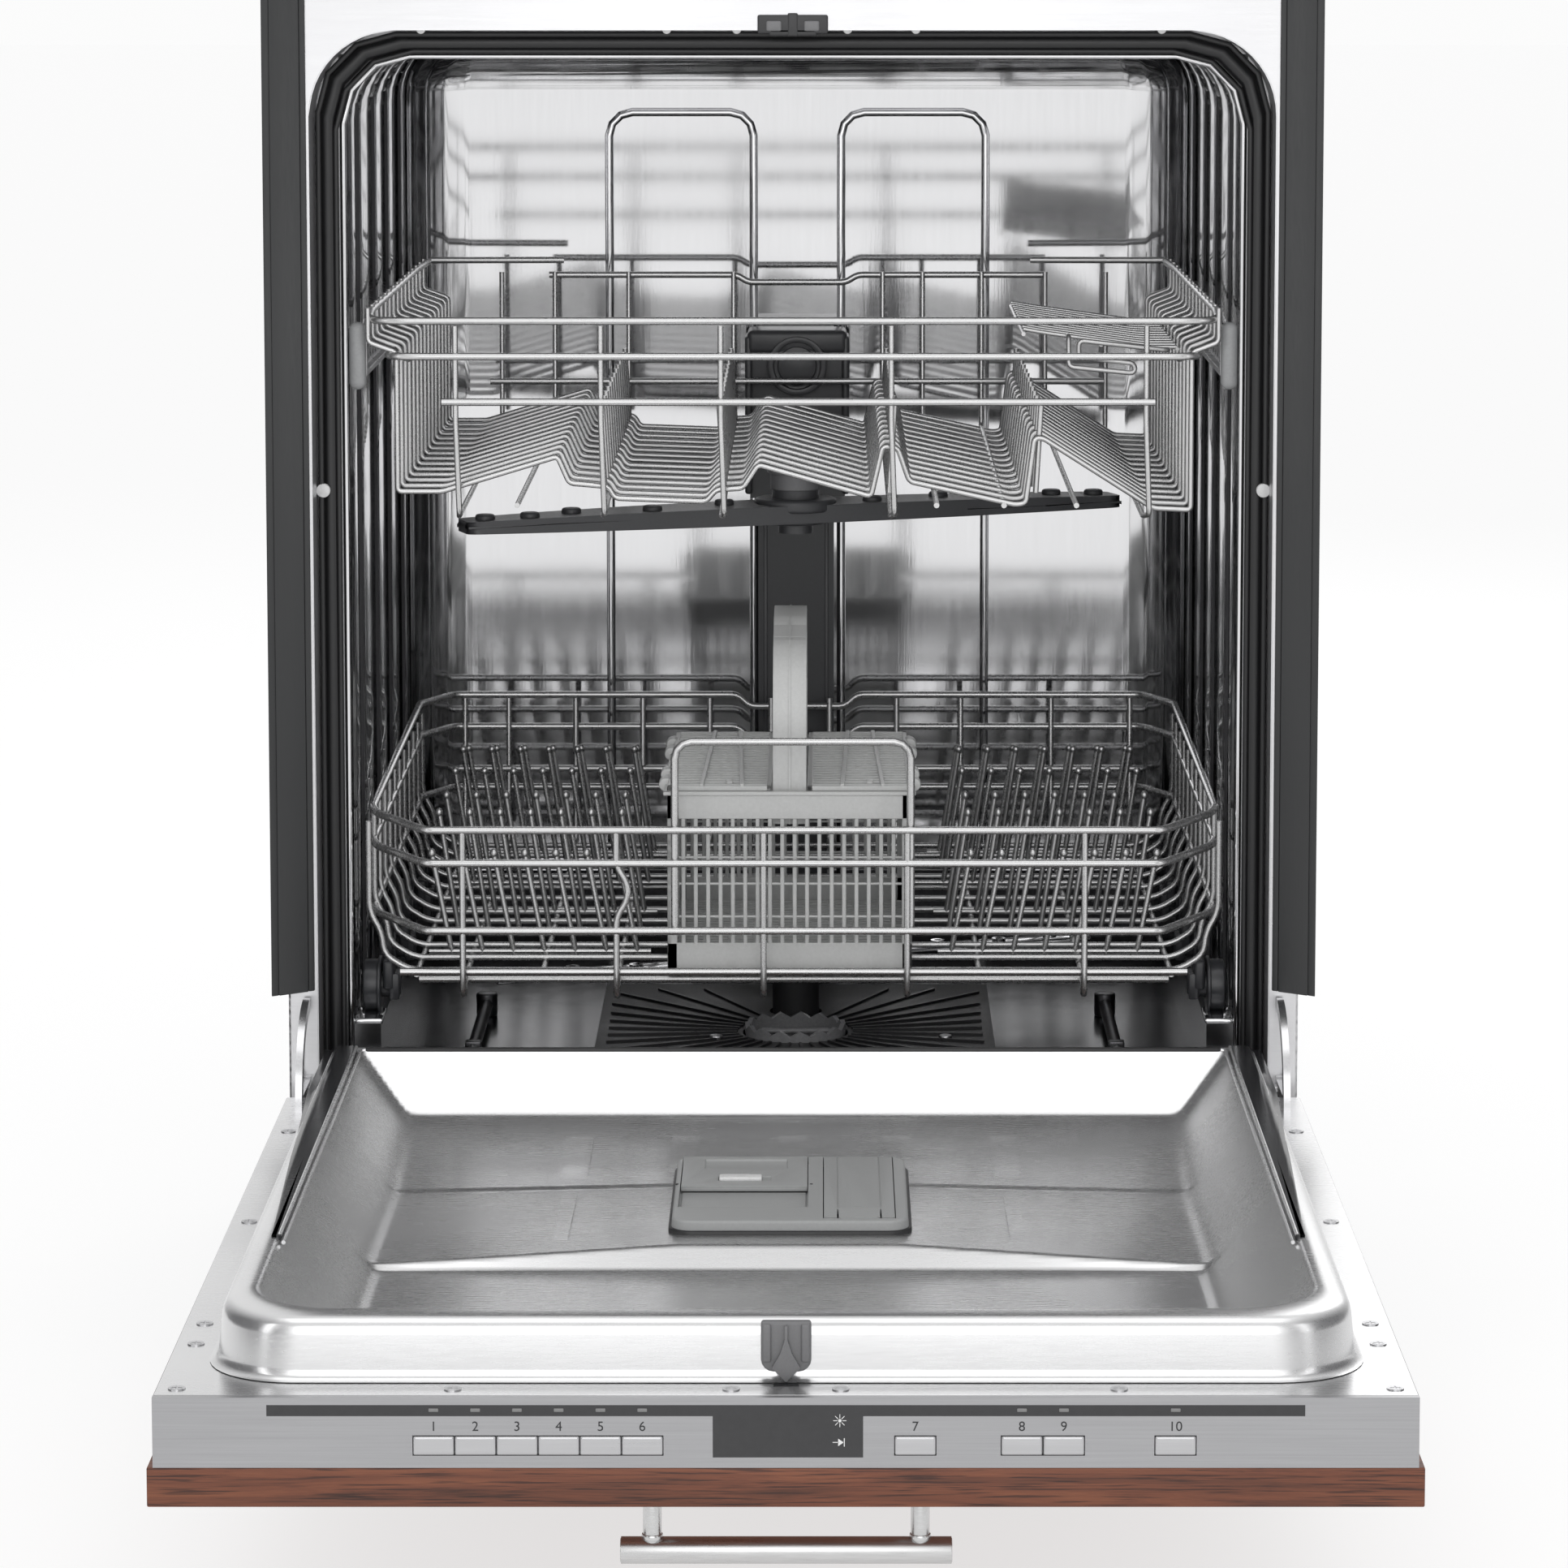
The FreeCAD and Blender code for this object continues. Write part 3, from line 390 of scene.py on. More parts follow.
def empty_mesh(name):
    """A piece with nothing in it yet, open in edit mode."""
    bpy.ops.object.select_all(action="DESELECT")
    bpy.ops.mesh.primitive_plane_add(size=0.001, location=(0, 0, 0))
    piece = start(name)
    bpy.ops.object.mode_set(mode="EDIT")
    bpy.ops.mesh.select_mode(type="VERT")
    bpy.ops.mesh.delete(type="VERT")
    return piece


def wires(name, runs, thick, bend, sides=2):
    """Bends runs of wire, each a list of points, or such a list with its number of copies
    and the step between them, rounds their corners and gives them their thickness in mm."""
    piece = empty_mesh(name)
    for run in runs:
        points, copies, step = run if isinstance(run, tuple) else (run, 1, None)
        lay_run(points, bend)
        bpy.ops.mesh.select_linked()
        for _ in range(copies - 1):
            bpy.ops.mesh.duplicate_move(TRANSFORM_OT_translate={"value": step})
    done()
    bpy.ops.object.convert(target="CURVE")
    piece.data.bevel_depth = thick / 2000
    piece.data.bevel_resolution = sides
    piece.data.use_fill_caps = True
    bpy.ops.object.convert(target="MESH")
    bpy.ops.object.shade_smooth_by_angle(angle=math.radians(50))
    return piece


polished = finish("polished_steel", (0.72, 0.72, 0.73), 0.07, (260, 260, 14), 0.00003, 0.02, 1.0,
                  patch=9)
# The tub floor is the same polished steel as the walls; its much darker colour is painted shade for the
# dim floor inside the tub.
painted_shade_floor = finish("tub_floor_painted_shade", (0.24, 0.24, 0.245), 0.2, (60, 60, 60), 0.00004, 0.08, 1.0)
clad(painted_shade_floor, "tub_floor")
half, mouth, rear = 265, 42, 546
ledge, shoulder, roof = 31, 572, 610
side = [(half, mouth), (half, 66), (half + 3, 70), (half + 3, 88), (half, 92), (half, 118),
        (half + 4, 124), (half + 4, 150), (half, 156), (half, 232), (half + 4, 238), (half + 4, 262),
        (half, 268), (half, 330), (half + 4, 336), (half + 4, 362), (half, 368), (half, 436),
        (half + 4, 442), (half + 4, 468), (half, 474), (half, 506)]
plan = [at(-x, y, ledge) for x, y in side]
plan += [at(-half + 4, 524, ledge), at(-half + 12, 536, ledge), at(-half + 24, rear - 3, ledge),
         at(-half + 38, rear, ledge), at(half - 38, rear, ledge), at(half - 24, rear - 3, ledge),
         at(half - 12, 536, ledge), at(half - 4, 524, ledge)]
plan += [at(x, y, ledge) for x, y in reversed(side)]
shell = empty_mesh("tub_shell")
lay_run(plan, 2.2, 2)
bpy.ops.mesh.select_all(action="SELECT")
push(0, 0, (shoulder - ledge) / 1000)
bend, turns = roof - shoulder, 7
for n in range(turns):
    was, now = (n / turns * math.pi / 2, (n + 1) / turns * math.pi / 2)
    rise = bend * (math.sin(now) - math.sin(was))
    drawn, next_in = bend * (1 - math.cos(was)), bend * (1 - math.cos(now))
    deep = rear - mouth
    push(0, 0, rise / 1000)
    bpy.ops.transform.resize(value=((half - next_in) / (half - drawn),
                                    (deep - next_in) / (deep - drawn), 1),
                             center_override=at(0, mouth, 0))
push(0, 0, 0)
bpy.ops.transform.resize(value=(0, 1, 1), center_override=at(0, 0, 0))
bpy.ops.mesh.select_all(action="SELECT")
bpy.ops.mesh.remove_doubles(threshold=0.00005)
bpy.ops.mesh.normals_make_consistent(inside=False)
done()
mesh = shell.data
wall = max(mesh.polygons, key=lambda p: p.area if abs(p.normal.y) > 0.9 else 0)
if wall.normal.y > 0:
    edit(shell, "face", lambda f: True)
    bpy.ops.mesh.flip_normals()
    done()
apply(shell, "SOLIDIFY", thickness=0.0008, offset=-1)
bpy.ops.object.shade_smooth_by_angle(angle=math.radians(35))
fit(shell, polished, "cabinet", "stainless", "tub_wrap", "tub_back")

beads = []
for inner, outer in ((-30, -129), (30, 129)):
    beads.append([at(inner, rear - 0.4, 0), at(inner, rear - 0.4, 558), at(outer, rear - 0.4, 558),
                  at(outer, rear - 0.4, 0)])
fit(wires("back_beads", beads, 6, 16, 3), polished, "cabinet", "stainless")
rim = [[at(-266, 42, 0), at(-266, 42, 611), at(266, 42, 611), at(266, 42, 0)]]
fit(wires("tub_mouth_bead", rim, 4, 40, 3), polished, "cabinet", "stainless")
corner_pads = []
for x in (-256, 256):
    pad = block("corner_pad", at(x - 9, 44, ledge - 1), at(x + 9, 78, ledge + 2.5))
    round_edges(pad, 0.0015, 3)
    corner_pads.append(pad)
fit(join("corner_pads", *corner_pads), polished, "cabinet", "stainless")


# ---------------------------------------------------------------------------
# Front flange. The tub's mouth is folded outwards into a flat painted-bright steel flange
# round a rounded opening. Charcoal strips cover its side edges and seal to the cabinets.
flange_steel = finish("flange_steel", (0.62, 0.62, 0.63), 0.34, (40, 40, 700), 0.00003, 0.03, 0.9)
low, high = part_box("front_flange")
plate = block("front_flange_plate", (low.x, low.y, low.z), (high.x, low.y + 0.0012, high.z))
opening = block("opening", at(-282, -20, -80), at(282, 20, 627))
edit(opening, "edge", lambda e: all(v.co.z > DECK + 0.6 for v in e.verts)
     and abs(e.verts[0].co.y - e.verts[1].co.y) > 0.01)
bpy.ops.mesh.bevel(offset=0.05, segments=12, affect="EDGES")
done()
cut(plate, opening)
collar = empty_mesh("flange_collar")
lay_run([at(-282, 1, -9), at(-282, 1, 627), at(282, 1, 627), at(282, 1, -9)], 50, 12)
bpy.ops.mesh.select_all(action="SELECT")
push(0, 0.041, 0)
done()
apply(collar, "SOLIDIFY", thickness=0.0012, offset=0)
bpy.ops.object.shade_smooth_by_angle(angle=math.radians(40))
returns = [block("return", (x - 0.0012, low.y, low.z), (x, high.y, high.z))
           for x in (low.x + 0.0012, high.x)]
returns.append(block("return", (low.x, low.y, high.z - 0.0012), (high.x, high.y, high.z)))
back_ring = block("back_ring", (low.x, high.y - 0.0012, low.z), (high.x, high.y, high.z))
ring_hole = block("ring_hole", at(-268, 20, -80), at(268, 80, 612))
cut(back_ring, ring_hole)
fit(join("flange", plate, collar, back_ring, *returns), flange_steel, "cabinet", "stainless",
    "front_flange")

gasket_rubber = finish("gasket_rubber", (0.012, 0.012, 0.013), 0.36, (400, 400, 60), 0.00006)
bulb = wires("gasket_bulb", [[at(-274, 35, -15), at(-274, 35, 619), at(274, 35, 619),
                              at(274, 35, -15)]], 12, 44, 4)
lip = wires("gasket_lip", [[at(-279, 27, -10), at(-279, 27, 624), at(279, 27, 624), at(279, 27, -10)],
                           [at(-269, 30.4, -10), at(-269, 30.4, 614), at(269, 30.4, 614),
                            at(269, 30.4, -10)]], 3.4, 46, 2)
fit(join("door_gasket_ring", bulb, lip), gasket_rubber, "cabinet", "rubber", "door_gasket")
clad(gasket_rubber, "bottom_seal")

strip_plastic = finish("strip_plastic", (0.022, 0.023, 0.024), 0.5, (800, 800, 90), 0.00008, 0.08)
strips = []
for outer, inner, thick in ((309, 304.5, 1.3), (304.5, 287, 2.2), (287, 283.5, 1.5)):
    strip = block("strip", at(-outer, -thick, 60), at(-inner, 0, 668))
    for vertex in strip.data.vertices:
        if vertex.co.z < DECK + 0.1:
            vertex.co.z -= (abs(vertex.co.x) - 0.2835) * 0.14
    strips.append(round_edges(strip, 0.0005, 2))
left_strip = join("left_strip", *strips)
right_strip = across(left_strip, "right_strip")
fit(join("side_strips", left_strip, right_strip), strip_plastic, "cabinet", "dark_plastic",
    "side_trims")

zinc_plate = finish("zinc_plate", (0.55, 0.55, 0.56), 0.3, (300, 300, 300), 0.0001, 0.1, 1.0)
dots = [drum("dot", "y", at(x, 26.5, 627), 0.0028, 0.004, 16) for x in (-218, -74, -33, 32, 72, 216)]
dots += [drum("dot", "y", at(x, 27, 355), 0.0042, 0.004, 20) for x in (-278, 278)]
for dot in dots:
    round_edges(dot, 0.0008, 2)
white_nylon = finish("white_nylon", (0.72, 0.72, 0.72), 0.35, (600, 600, 600), 0.00005)
fit(join("gasket_studs", *dots), white_nylon, "cabinet", "white_plastic")

low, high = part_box("latch_striker")
plate = slab("plate", (-0.0205, low.y, low.z + 0.006), (0.0205, low.y + 0.004, high.z - 0.002), 0.0012,
             3)
tab = slab("tab", (-0.003, low.y - 0.0004, low.z + 0.0045), (0.003, low.y + 0.004, high.z - 0.001),
           0.001, 3)
bridge = slab("bridge", (-0.014, low.y, low.z + 0.0045), (0.014, low.y + 0.012, low.z + 0.0095), 0.0015,
              3)
fit(join("striker_plate", plate, tab, bridge), machine_plastic, "cabinet", "dark_plastic",
    "latch_striker")
pads = [slab("pad", (x - 0.0045, low.y - 0.001, low.z + 0.0075),
             (x + 0.0045, low.y + 0.004, low.z + 0.0135), 0.0012, 3) for x in (-0.011, 0.011)]
mould_grey = finish("mould_grey", (0.16, 0.16, 0.165), 0.42, (700, 700, 700), 0.00008)
fit(join("striker_pads", *pads), mould_grey, "cabinet", "grey_plastic")


# ---------------------------------------------------------------------------
# Jacket, brackets and hinges. A bitumen and felt jacket wraps the tub. Zinc plated brackets
# hold the unit under the counter, and curved steel arms swing with the door on its hinges.
felt = finish("jacket_felt", (0.075, 0.075, 0.08), 0.95, (350, 350, 350), 0.0006, 0.25)
clad(felt, "sound_jacket")
clad(zinc_plate, "counter_brackets", "hinge_brackets")
hinge_steel = finish("hinge_steel", (0.6, 0.6, 0.61), 0.24, (300, 300, 300), 0.00005, 0.06, 1.0)
clad(hinge_steel, "hinge_arms")
low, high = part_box("sound_jacket")
straps = []
for y in (low.y + 0.12, high.y - 0.14):
    straps.append([Vector((low.x - 0.0006, y, low.z + 0.01)),
                   Vector((low.x - 0.0006, y, high.z + 0.0006)),
                   Vector((high.x + 0.0006, y, high.z + 0.0006)),
                   Vector((high.x + 0.0006, y, low.z + 0.01))])
strap = empty_mesh("jacket_straps")
for run in straps:
    lay_run(run, 6, 3)
    bpy.ops.mesh.select_linked()
    push(0, 0.016, 0)
done()
apply(strap, "SOLIDIFY", thickness=0.0012, offset=0)
bpy.ops.object.shade_smooth_by_angle(angle=math.radians(40))
fit(strap, casing_grey, "cabinet", "grey_plastic")


# ---------------------------------------------------------------------------
# Sump and filters. A pleated fine filter drops through a flat strainer plate, with ribs
# that fan from it, into the sump, and an element loop of steel tube lies on the tub floor.
# The strainer plate's near-black colour is dark plastic and is also painted shade for the dim tub floor
# around the sump.
shadow_plastic = finish("strainer_plastic_and_painted_shade", (0.022, 0.022, 0.024), 0.33, (700, 700, 700), 0.0001)
low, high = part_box("filter_plate")
plate = block("strainer", low, high)
round_edges(plate, 0.0006, 2)
hole_low, hole_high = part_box("filter_cup")
hole_middle = (hole_low + hole_high) / 2
well = drum("well", "z", hole_middle, (hole_high.x - hole_low.x) / 2 + 0.0015, 0.2, 64)
cut(plate, well)
post = drum("post", "z", (0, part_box("lower_spray_arm")[0].y / 2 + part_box("lower_spray_arm")[1].y / 2,
                          high.z), 0.017, 0.1, 48)
cut(plate, post)
fans = []
for n in range(36):
    angle = (n + 0.5) / 36 * math.tau
    reach = min(0.122 / max(1e-6, abs(math.cos(angle))),
                (0.085 if math.sin(angle) < 0 else 0.132) / max(1e-6, abs(math.sin(angle))))
    if abs(math.cos(angle)) < 0.36 and math.sin(angle) > 0:
        continue
    rib = block("rib", (0.037, -0.0009, 0), (reach - 0.003, 0.0009, 0.0016))
    rib.rotation_euler = (0, 0, angle)
    rib.location = (hole_middle.x, hole_middle.y, high.z - 0.0002)
    settle(rib)
    fans.append(rib)
fit(join("strainer_plate", plate, *fans), shadow_plastic, "cabinet", "dark_plastic", "filter_plate")
screws = [turned("screw", "z", (x, hole_middle.y - 0.02, high.z + 0.001), 0.0042, 0.003, 20, 0.0008, 2)
          for x in (-0.05, 0.095)]
fit(join("strainer_screws", *screws), zinc_plate, "cabinet", "zinc")

low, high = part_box("filter_cup")
radius = (high.x - low.x) / 2
cup = drum("pleated_filter", "z", (low + high) / 2, radius, high.z - low.z, 60)
edit(cup, "face", lambda f: f.normal.z > 0.9)
bpy.ops.mesh.inset(thickness=0.003)
push(0, 0, -(high.z - low.z) * 0.9)
done()
for vertex in cup.data.vertices:
    around = math.atan2(vertex.co.y - hole_middle.y, vertex.co.x - hole_middle.x)
    if vertex.co.z > high.z - 0.02:
        vertex.co.z -= 0.0018 * (1 + math.cos(around * 15))
bpy.ops.object.shade_smooth_by_angle(angle=math.radians(40))
clear_grey = finish("filter_grey", (0.30, 0.30, 0.31), 0.22, (500, 500, 500), 0.00005, 0.1, 0.0, 0.4)
handle = wires("filter_grip", [[Vector((-radius + 0.004, hole_middle.y, high.z - 0.03)),
                                Vector((-radius + 0.006, hole_middle.y, high.z - 0.006)),
                                Vector((radius - 0.006, hole_middle.y, high.z - 0.006)),
                                Vector((radius - 0.004, hole_middle.y, high.z - 0.03))]], 4, 6)
fit(join("pleated_filter", cup, handle), clear_grey, "filter_cup", "grey_plastic", "filter_cup")
element_steel = finish("element_steel", (0.10, 0.10, 0.105), 0.3, (200, 200, 200), 0.00005, 0.2, 1.0)
tube_low, tube_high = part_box("heater")
side, front, back = tube_high.x - 0.007, tube_low.y + 0.004, tube_high.y - 0.007
level = DECK - 0.008
loop = [Vector((-side, back, level - 0.006)), Vector((-side, back, level)),
        Vector((-side, front, level)), Vector((side, front, level)), Vector((side, back, level)),
        Vector((side, back, level - 0.006))]
glands = []
for end in (-1, 1):
    spot = Vector((end * side, back, tube_low.z + 0.0075))
    glands.append(turned("gland", "z", spot, 0.0068, 0.015, 24, 0.0012, 3))
    glands.append(slab("clip", (end * side - 0.005, front + 0.056, tube_low.z),
                       (end * side + 0.005, front + 0.064, level + 0.005), 0.001, 2))
element = wires("element_loop", [loop], 8, 12, 8)
fit(join("heating_element", element, *glands), element_steel, "cabinet", "wire", "heater")

low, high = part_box("lower_spray_arm")
hub = (low + high) / 2
reach = 0.2045
arm = block("lower_arm_blade", (-reach, -0.017, low.z), (reach, 0.017, high.z))
edit(arm, "face", lambda f: abs(f.normal.x) > 0.9)
bpy.ops.transform.resize(value=(1, 0.55, 0.7), center_override=(0, 0, (low.z + high.z) / 2))
done()
round_edges(arm, 0.0025, 4)
jets = []
for x, y in ((-0.185, -0.005), (-0.15, 0.004), (-0.11, -0.004), (-0.07, 0.004), (0.06, -0.004),
             (0.1, 0.004), (0.14, -0.004), (0.18, 0.005)):
    jet = drum("jet", "z", (x, y, high.z), 0.0045, 0.0026, 16)
    edit(jet, "face", lambda f: f.normal.z > 0.9)
    bpy.ops.mesh.inset(thickness=0.0022)
    push(0, 0, -0.0018)
    done()
    jets.append(jet)
cap = turned("cap", "z", (0, 0, high.z + 0.001), 0.0165, 0.008, 40, 0.002, 3)
arm = join("lower_arm", arm, cap, *jets)
arm.rotation_euler = (0, 0, math.radians(20))
arm.location = (hub.x, hub.y, 0)
settle(arm)
bpy.ops.object.shade_smooth_by_angle(angle=math.radians(40))
fit(arm, polished, "lower_spray_arm", "stainless", "lower_spray_arm")


# ---------------------------------------------------------------------------
# Feed duct and rack slides. A moulded duct climbs the back to a dock whose rubber sockets
# take the rack's feed pipe. Perforated steel slides are screwed to the sides, with end caps.
duct_plastic = finish("duct_plastic", (0.055, 0.056, 0.06), 0.38, (600, 600, 600), 0.00008)
clad(duct_plastic, "feed_duct", "rack_feed_pipe")
rings = []
for height, radius in ((336, 14), (388, 17)):
    ring = drum("ring", "y", at(0, 494.5, height), radius / 1000 + 0.003, 0.006, 48)
    edit(ring, "face", lambda f: f.normal.y < -0.9)
    bpy.ops.mesh.inset(thickness=0.004)
    push(0, 0.003, 0)
    bpy.ops.mesh.inset(thickness=0.003)
    push(0, -0.002, 0)
    done()
    rings.append(round_edges(ring, 0.0007, 2))
hood = slab("hood", at(-34, 494, 396), at(34, 534, 412), 0.004, 4)
cheeks = [slab("cheek", at(x - 2.5, 495, 300), at(x + 2.5, 531, 408), 0.002, 3) for x in (-33, 33)]
seams = [slab("seam", at(x - 1.2, 529.5, -12), at(x + 1.2, 531.5, 300), 0.0005, 2) for x in (-22, 20)]
fit(join("feed_dock", hood, *rings, *cheeks, *seams), duct_plastic, "cabinet", "dark_plastic")
nut = drum("feed_nut", "z", (0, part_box("rack_feed_pipe")[0].y + 0.015, DECK + 0.3345), 0.0165, 0.011,
           36)
for vertex in nut.data.vertices:
    spot = Vector((vertex.co.x, vertex.co.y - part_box("rack_feed_pipe")[0].y - 0.015))
    turn = round(math.atan2(spot.y, spot.x) / math.tau * 36)
    if turn % 2:
        vertex.co.x *= 0.95
nut_rim = turned("nut_rim", "z", (0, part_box("rack_feed_pipe")[0].y + 0.015, DECK + 0.3405), 0.018,
                 0.0025, 48, 0.0008, 2)
fit(join("feed_pipe_nut", round_edges(nut, 0.0006, 1), nut_rim), mould_grey, "upper_rack",
    "grey_plastic")

slide_steel = finish("slide_steel", (0.5, 0.5, 0.51), 0.28, (20, 300, 300), 0.00005, 0.08, 1.0)
low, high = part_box("rack_slides")
channel = block("channel", (0.254, low.y + 0.012, low.z + 0.001), (0.2645, high.y, high.z - 0.001))
edit(channel, "face", lambda f: f.normal.x < -0.9)
bpy.ops.mesh.inset(thickness=0.0035)
push(0.004, 0, 0)
done()
round_edges(channel, 0.0008, 2)
slides = [channel]
for n in range(26):
    slug = turned("slug", "x", (0.2585, low.y + 0.03 + n * 0.0175, (low.z + high.z) / 2), 0.0055, 0.002,
                  14, 0.0006, 1)
    slides.append(slug)
right_slide = join("right_slide", *slides)
left_slide = across(right_slide, "left_slide")
fit(join("rack_slide_pair", right_slide, left_slide), slide_steel, "cabinet", "stainless",
    "rack_slides")
light_cap = finish("cap_grey", (0.33, 0.335, 0.34), 0.4, (600, 600, 600), 0.00006)
caps = [slab("cap", at(x - 5, 43.5, 413), at(x + 5, 56, 453), 0.0045, 5) for x in (-259, 259)]
fit(join("slide_end_caps", *caps), light_cap, "cabinet", "light_plastic")


# ---------------------------------------------------------------------------
# Upper rack. Fifteen floor wires of nylon-coated steel are bent into ridges and up the
# sides, and are welded to long wires, rails and rows of tines. It hangs on the slides.
wire_coat = finish("coated_wire", (0.56, 0.56, 0.56), 0.28, (300, 300, 300), 0.0, 0.04, 0.9)
ridges = [(-252, 462), (-252, 442), (-235, 436), (-235, 353), (-209, 353), (-140, 374),
          (-133, 358), (-110, 356), (-106, 349), (-52, 347), (-46, 354), (-30, 355),
          (-21, 369), (46, 350), (53, 380), (62, 379), (69, 359), (132, 345), (138, 346),
          (143, 385), (148, 385), (214, 343), (236, 342), (236, 436), (252, 442), (252, 462)]
pitch = 31
floor_wire = [at(x, 40, z) for x, z in ridges]
runs = [(floor_wire, 15, Vector((0, pitch / 1000, 0)))]
for x in (-200, -114, -43, 58, 209):
    runs.append([at(x, 34, 452), at(x, 34, 396), at(x + 2, 33, 340), at(x, 60, 336),
                 at(x, 488, 344), at(x, 492, 452)])
for x in (-164, 85, 125, 168):
    runs.append([at(x, 36, 345), at(x, 488, 347), at(x, 492, 452)])
for x in (-112, -41, 57, 144):
    runs.append(([at(x, 43, 352), at(x + (3 if x > 0 else -3), 43, 404)],
                 14, Vector((0, pitch / 1000, 0))))
thin = wires("upper_rack_wires", runs, 3.4, 4)
rails = [[at(-249, 492, 459), at(-252, 420, 459), at(-252, 60, 459), at(-252, 40, 455),
          at(-236, 33, 455), at(236, 33, 455), at(252, 40, 455), at(252, 60, 459), at(252, 420, 459),
          at(249, 492, 459)],
         [at(-232, 90, 428), at(-240, 60, 434), at(-240, 36, 434), at(-226, 32, 434), at(226, 32, 434),
          at(240, 36, 434), at(240, 60, 434), at(232, 90, 428)],
         [at(-249, 492, 460), at(-158, 495, 460)], [at(158, 495, 460), at(249, 492, 460)],
         [at(-168, 494, 450), at(-40, 494, 450), at(-34, 494, 445), at(34, 494, 445), at(40, 494, 450),
          at(168, 494, 450)], [at(-208, 489, 378), at(208, 489, 378)],
         [at(-208, 32, 407), at(214, 32, 407)]]
thick = wires("upper_rack_rails", rails, 4.6, 10, 3)
fit(join("upper_rack_basket", thin, thick), wire_coat, "upper_rack", "wire", "upper_rack")


# ---------------------------------------------------------------------------
# Cup shelf. A comb of bent wires is hinged on the rack's right side, lies level for cups
# and folds up against the side, and its loops hook over the side wires.
low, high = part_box("cup_shelf")
level = ((low.z + high.z) / 2 - DECK) * 1000
near, far = (low.y - FACE) * 1000, (high.y - FACE) * 1000
comb = [([at(232, near + 6, level + 1), at(214, near + 6, level + 1), at(150, near + 6, level + 10),
          at(139, near + 6, level + 12)], 13, Vector((0, 0.0178, 0)))]
comb += [[at(232, near + 2, level), at(232, far - 2, level)],
         [at(139, near + 4, level + 9), at(139, far - 4, level + 9)],
         [at(186, near + 4, level + 2.5), at(186, far - 4, level + 2.5)]]
hoop = [at(226, near, level), at(226, near - 6, level), at(172, near - 6, level + 6),
        at(172, near - 6, level - 4), at(206, near - 6, level - 8), at(206, near - 6, level - 14),
        at(166, near - 6, level - 10), at(166, near - 2, level + 8), at(166, near + 8, level + 8)]
shelf = wires("cup_shelf_comb", comb, 2.6, 5)
hoops = wires("cup_shelf_loops", [hoop], 3, 4)
fit(join("cup_shelf_wires", shelf, hoops), wire_coat, "cup_shelf", "wire", "cup_shelf")


# ---------------------------------------------------------------------------
# Upper spray arm. A hollow moulded arm in dark grey plastic snaps on the rack's feed pipe.
# It thins towards its turned-down tips, and its slots throw the jets that turn it.
low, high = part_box("upper_spray_arm")
hub = (low + high) / 2
reach, thick = 0.2205, high.z - low.z
arm = block("upper_arm_body", (-reach, -0.0225, low.z), (reach, 0.0225, high.z))
edit(arm, "face", lambda f: True)
bpy.ops.mesh.subdivide(number_cuts=7)
done()
for vertex in arm.data.vertices:
    out = abs(vertex.co.x) / reach
    vertex.co.y *= 1 - 0.42 * out ** 2
    if vertex.co.z > hub.z:
        vertex.co.z -= 0.0030 * out ** 2
    else:
        vertex.co.z += 0.0008 * out ** 2
edit(arm, "edge", lambda e: abs(e.calc_face_angle(0)) > 1
     and all(abs(abs(v.co.x) - reach) < 0.001 for v in e.verts)
     and abs(e.verts[0].co.z - e.verts[1].co.z) > 0.0005)
bpy.ops.mesh.bevel(offset=0.009, segments=5, affect="EDGES")
done()
round_edges(arm, 0.0018, 3, 40)
bumps = []
for x, y in ((-0.206, 0), (-0.178, -0.004), (-0.148, 0.005), (-0.098, -0.006), (-0.046, 0.006),
             (0.05, -0.006), (0.1, 0.006), (0.15, -0.005), (0.178, 0.004), (0.206, 0)):
    out = abs(x) / reach
    bump = turned("bump", "z", (x, y, high.z - 0.0030 * out ** 2), 0.0062, 0.006, 20, 0.0016, 3)
    slit = block("slit", (x - 0.005, y - 0.0009, high.z - 0.001),
                 (x + 0.005, y + 0.0009, high.z + 0.01))
    bumps.append(cut(bump, slit))
collar = turned("collar", "z", (0, 0, high.z - 0.001), 0.026, 0.008, 48, 0.002, 3)
under = turned("under", "z", (0, 0, low.z + 0.001), 0.02, 0.006, 40, 0.002, 3)
arm = join("upper_arm", arm, collar, under, *bumps)
arm.rotation_euler = (0, 0, math.radians(20))
arm.location = (hub.x, hub.y, 0)
settle(arm)
bpy.ops.object.shade_smooth_by_angle(angle=math.radians(40))
fit(arm, duct_plastic, "upper_spray_arm", "dark_plastic", "upper_spray_arm")


# ---------------------------------------------------------------------------
# Lower rack. Its sides step in under the rails to the floor, the front corners are cut
# off, and rows of leaning tines hold plates. It rolls on clip-on wheels with flanges.
side_x, floor_x = 256, 232
cross = [at(-side_x, 60, 151), at(-side_x, 60, 96), at(-side_x + 8, 60, 82), at(-side_x + 8, 60, 70),
         at(-floor_x, 60, 60), at(floor_x, 60, 60), at(side_x - 8, 60, 70), at(side_x - 8, 60, 82),
         at(side_x, 60, 96), at(side_x, 60, 151)]
runs = [(cross, 12, Vector((0, 0.0385, 0)))]
for x in (-198, -18, 68, 174):
    runs.append([at(x, 34, 151), at(x, 34, 62), at(x, 38, 46), at(x, 50, 56), at(x, 500, 57),
                 at(x, 508, 158)])
runs.append([at(-106, 34, 151), at(-106, 34, 128), at(-99, 34, 118), at(-99, 34, 108), at(-106, 34, 98),
             at(-106, 34, 62), at(-106, 38, 46), at(-106, 50, 56), at(-106, 500, 57),
             at(-106, 508, 158)])
for x in (-228, -152, -60, 22, 112, 228):
    runs.append([at(x, 62, 57), at(x, 500, 57), at(x, 508, 158)])
frame_wires = wires("lower_rack_wires", runs, 3.8, 7)


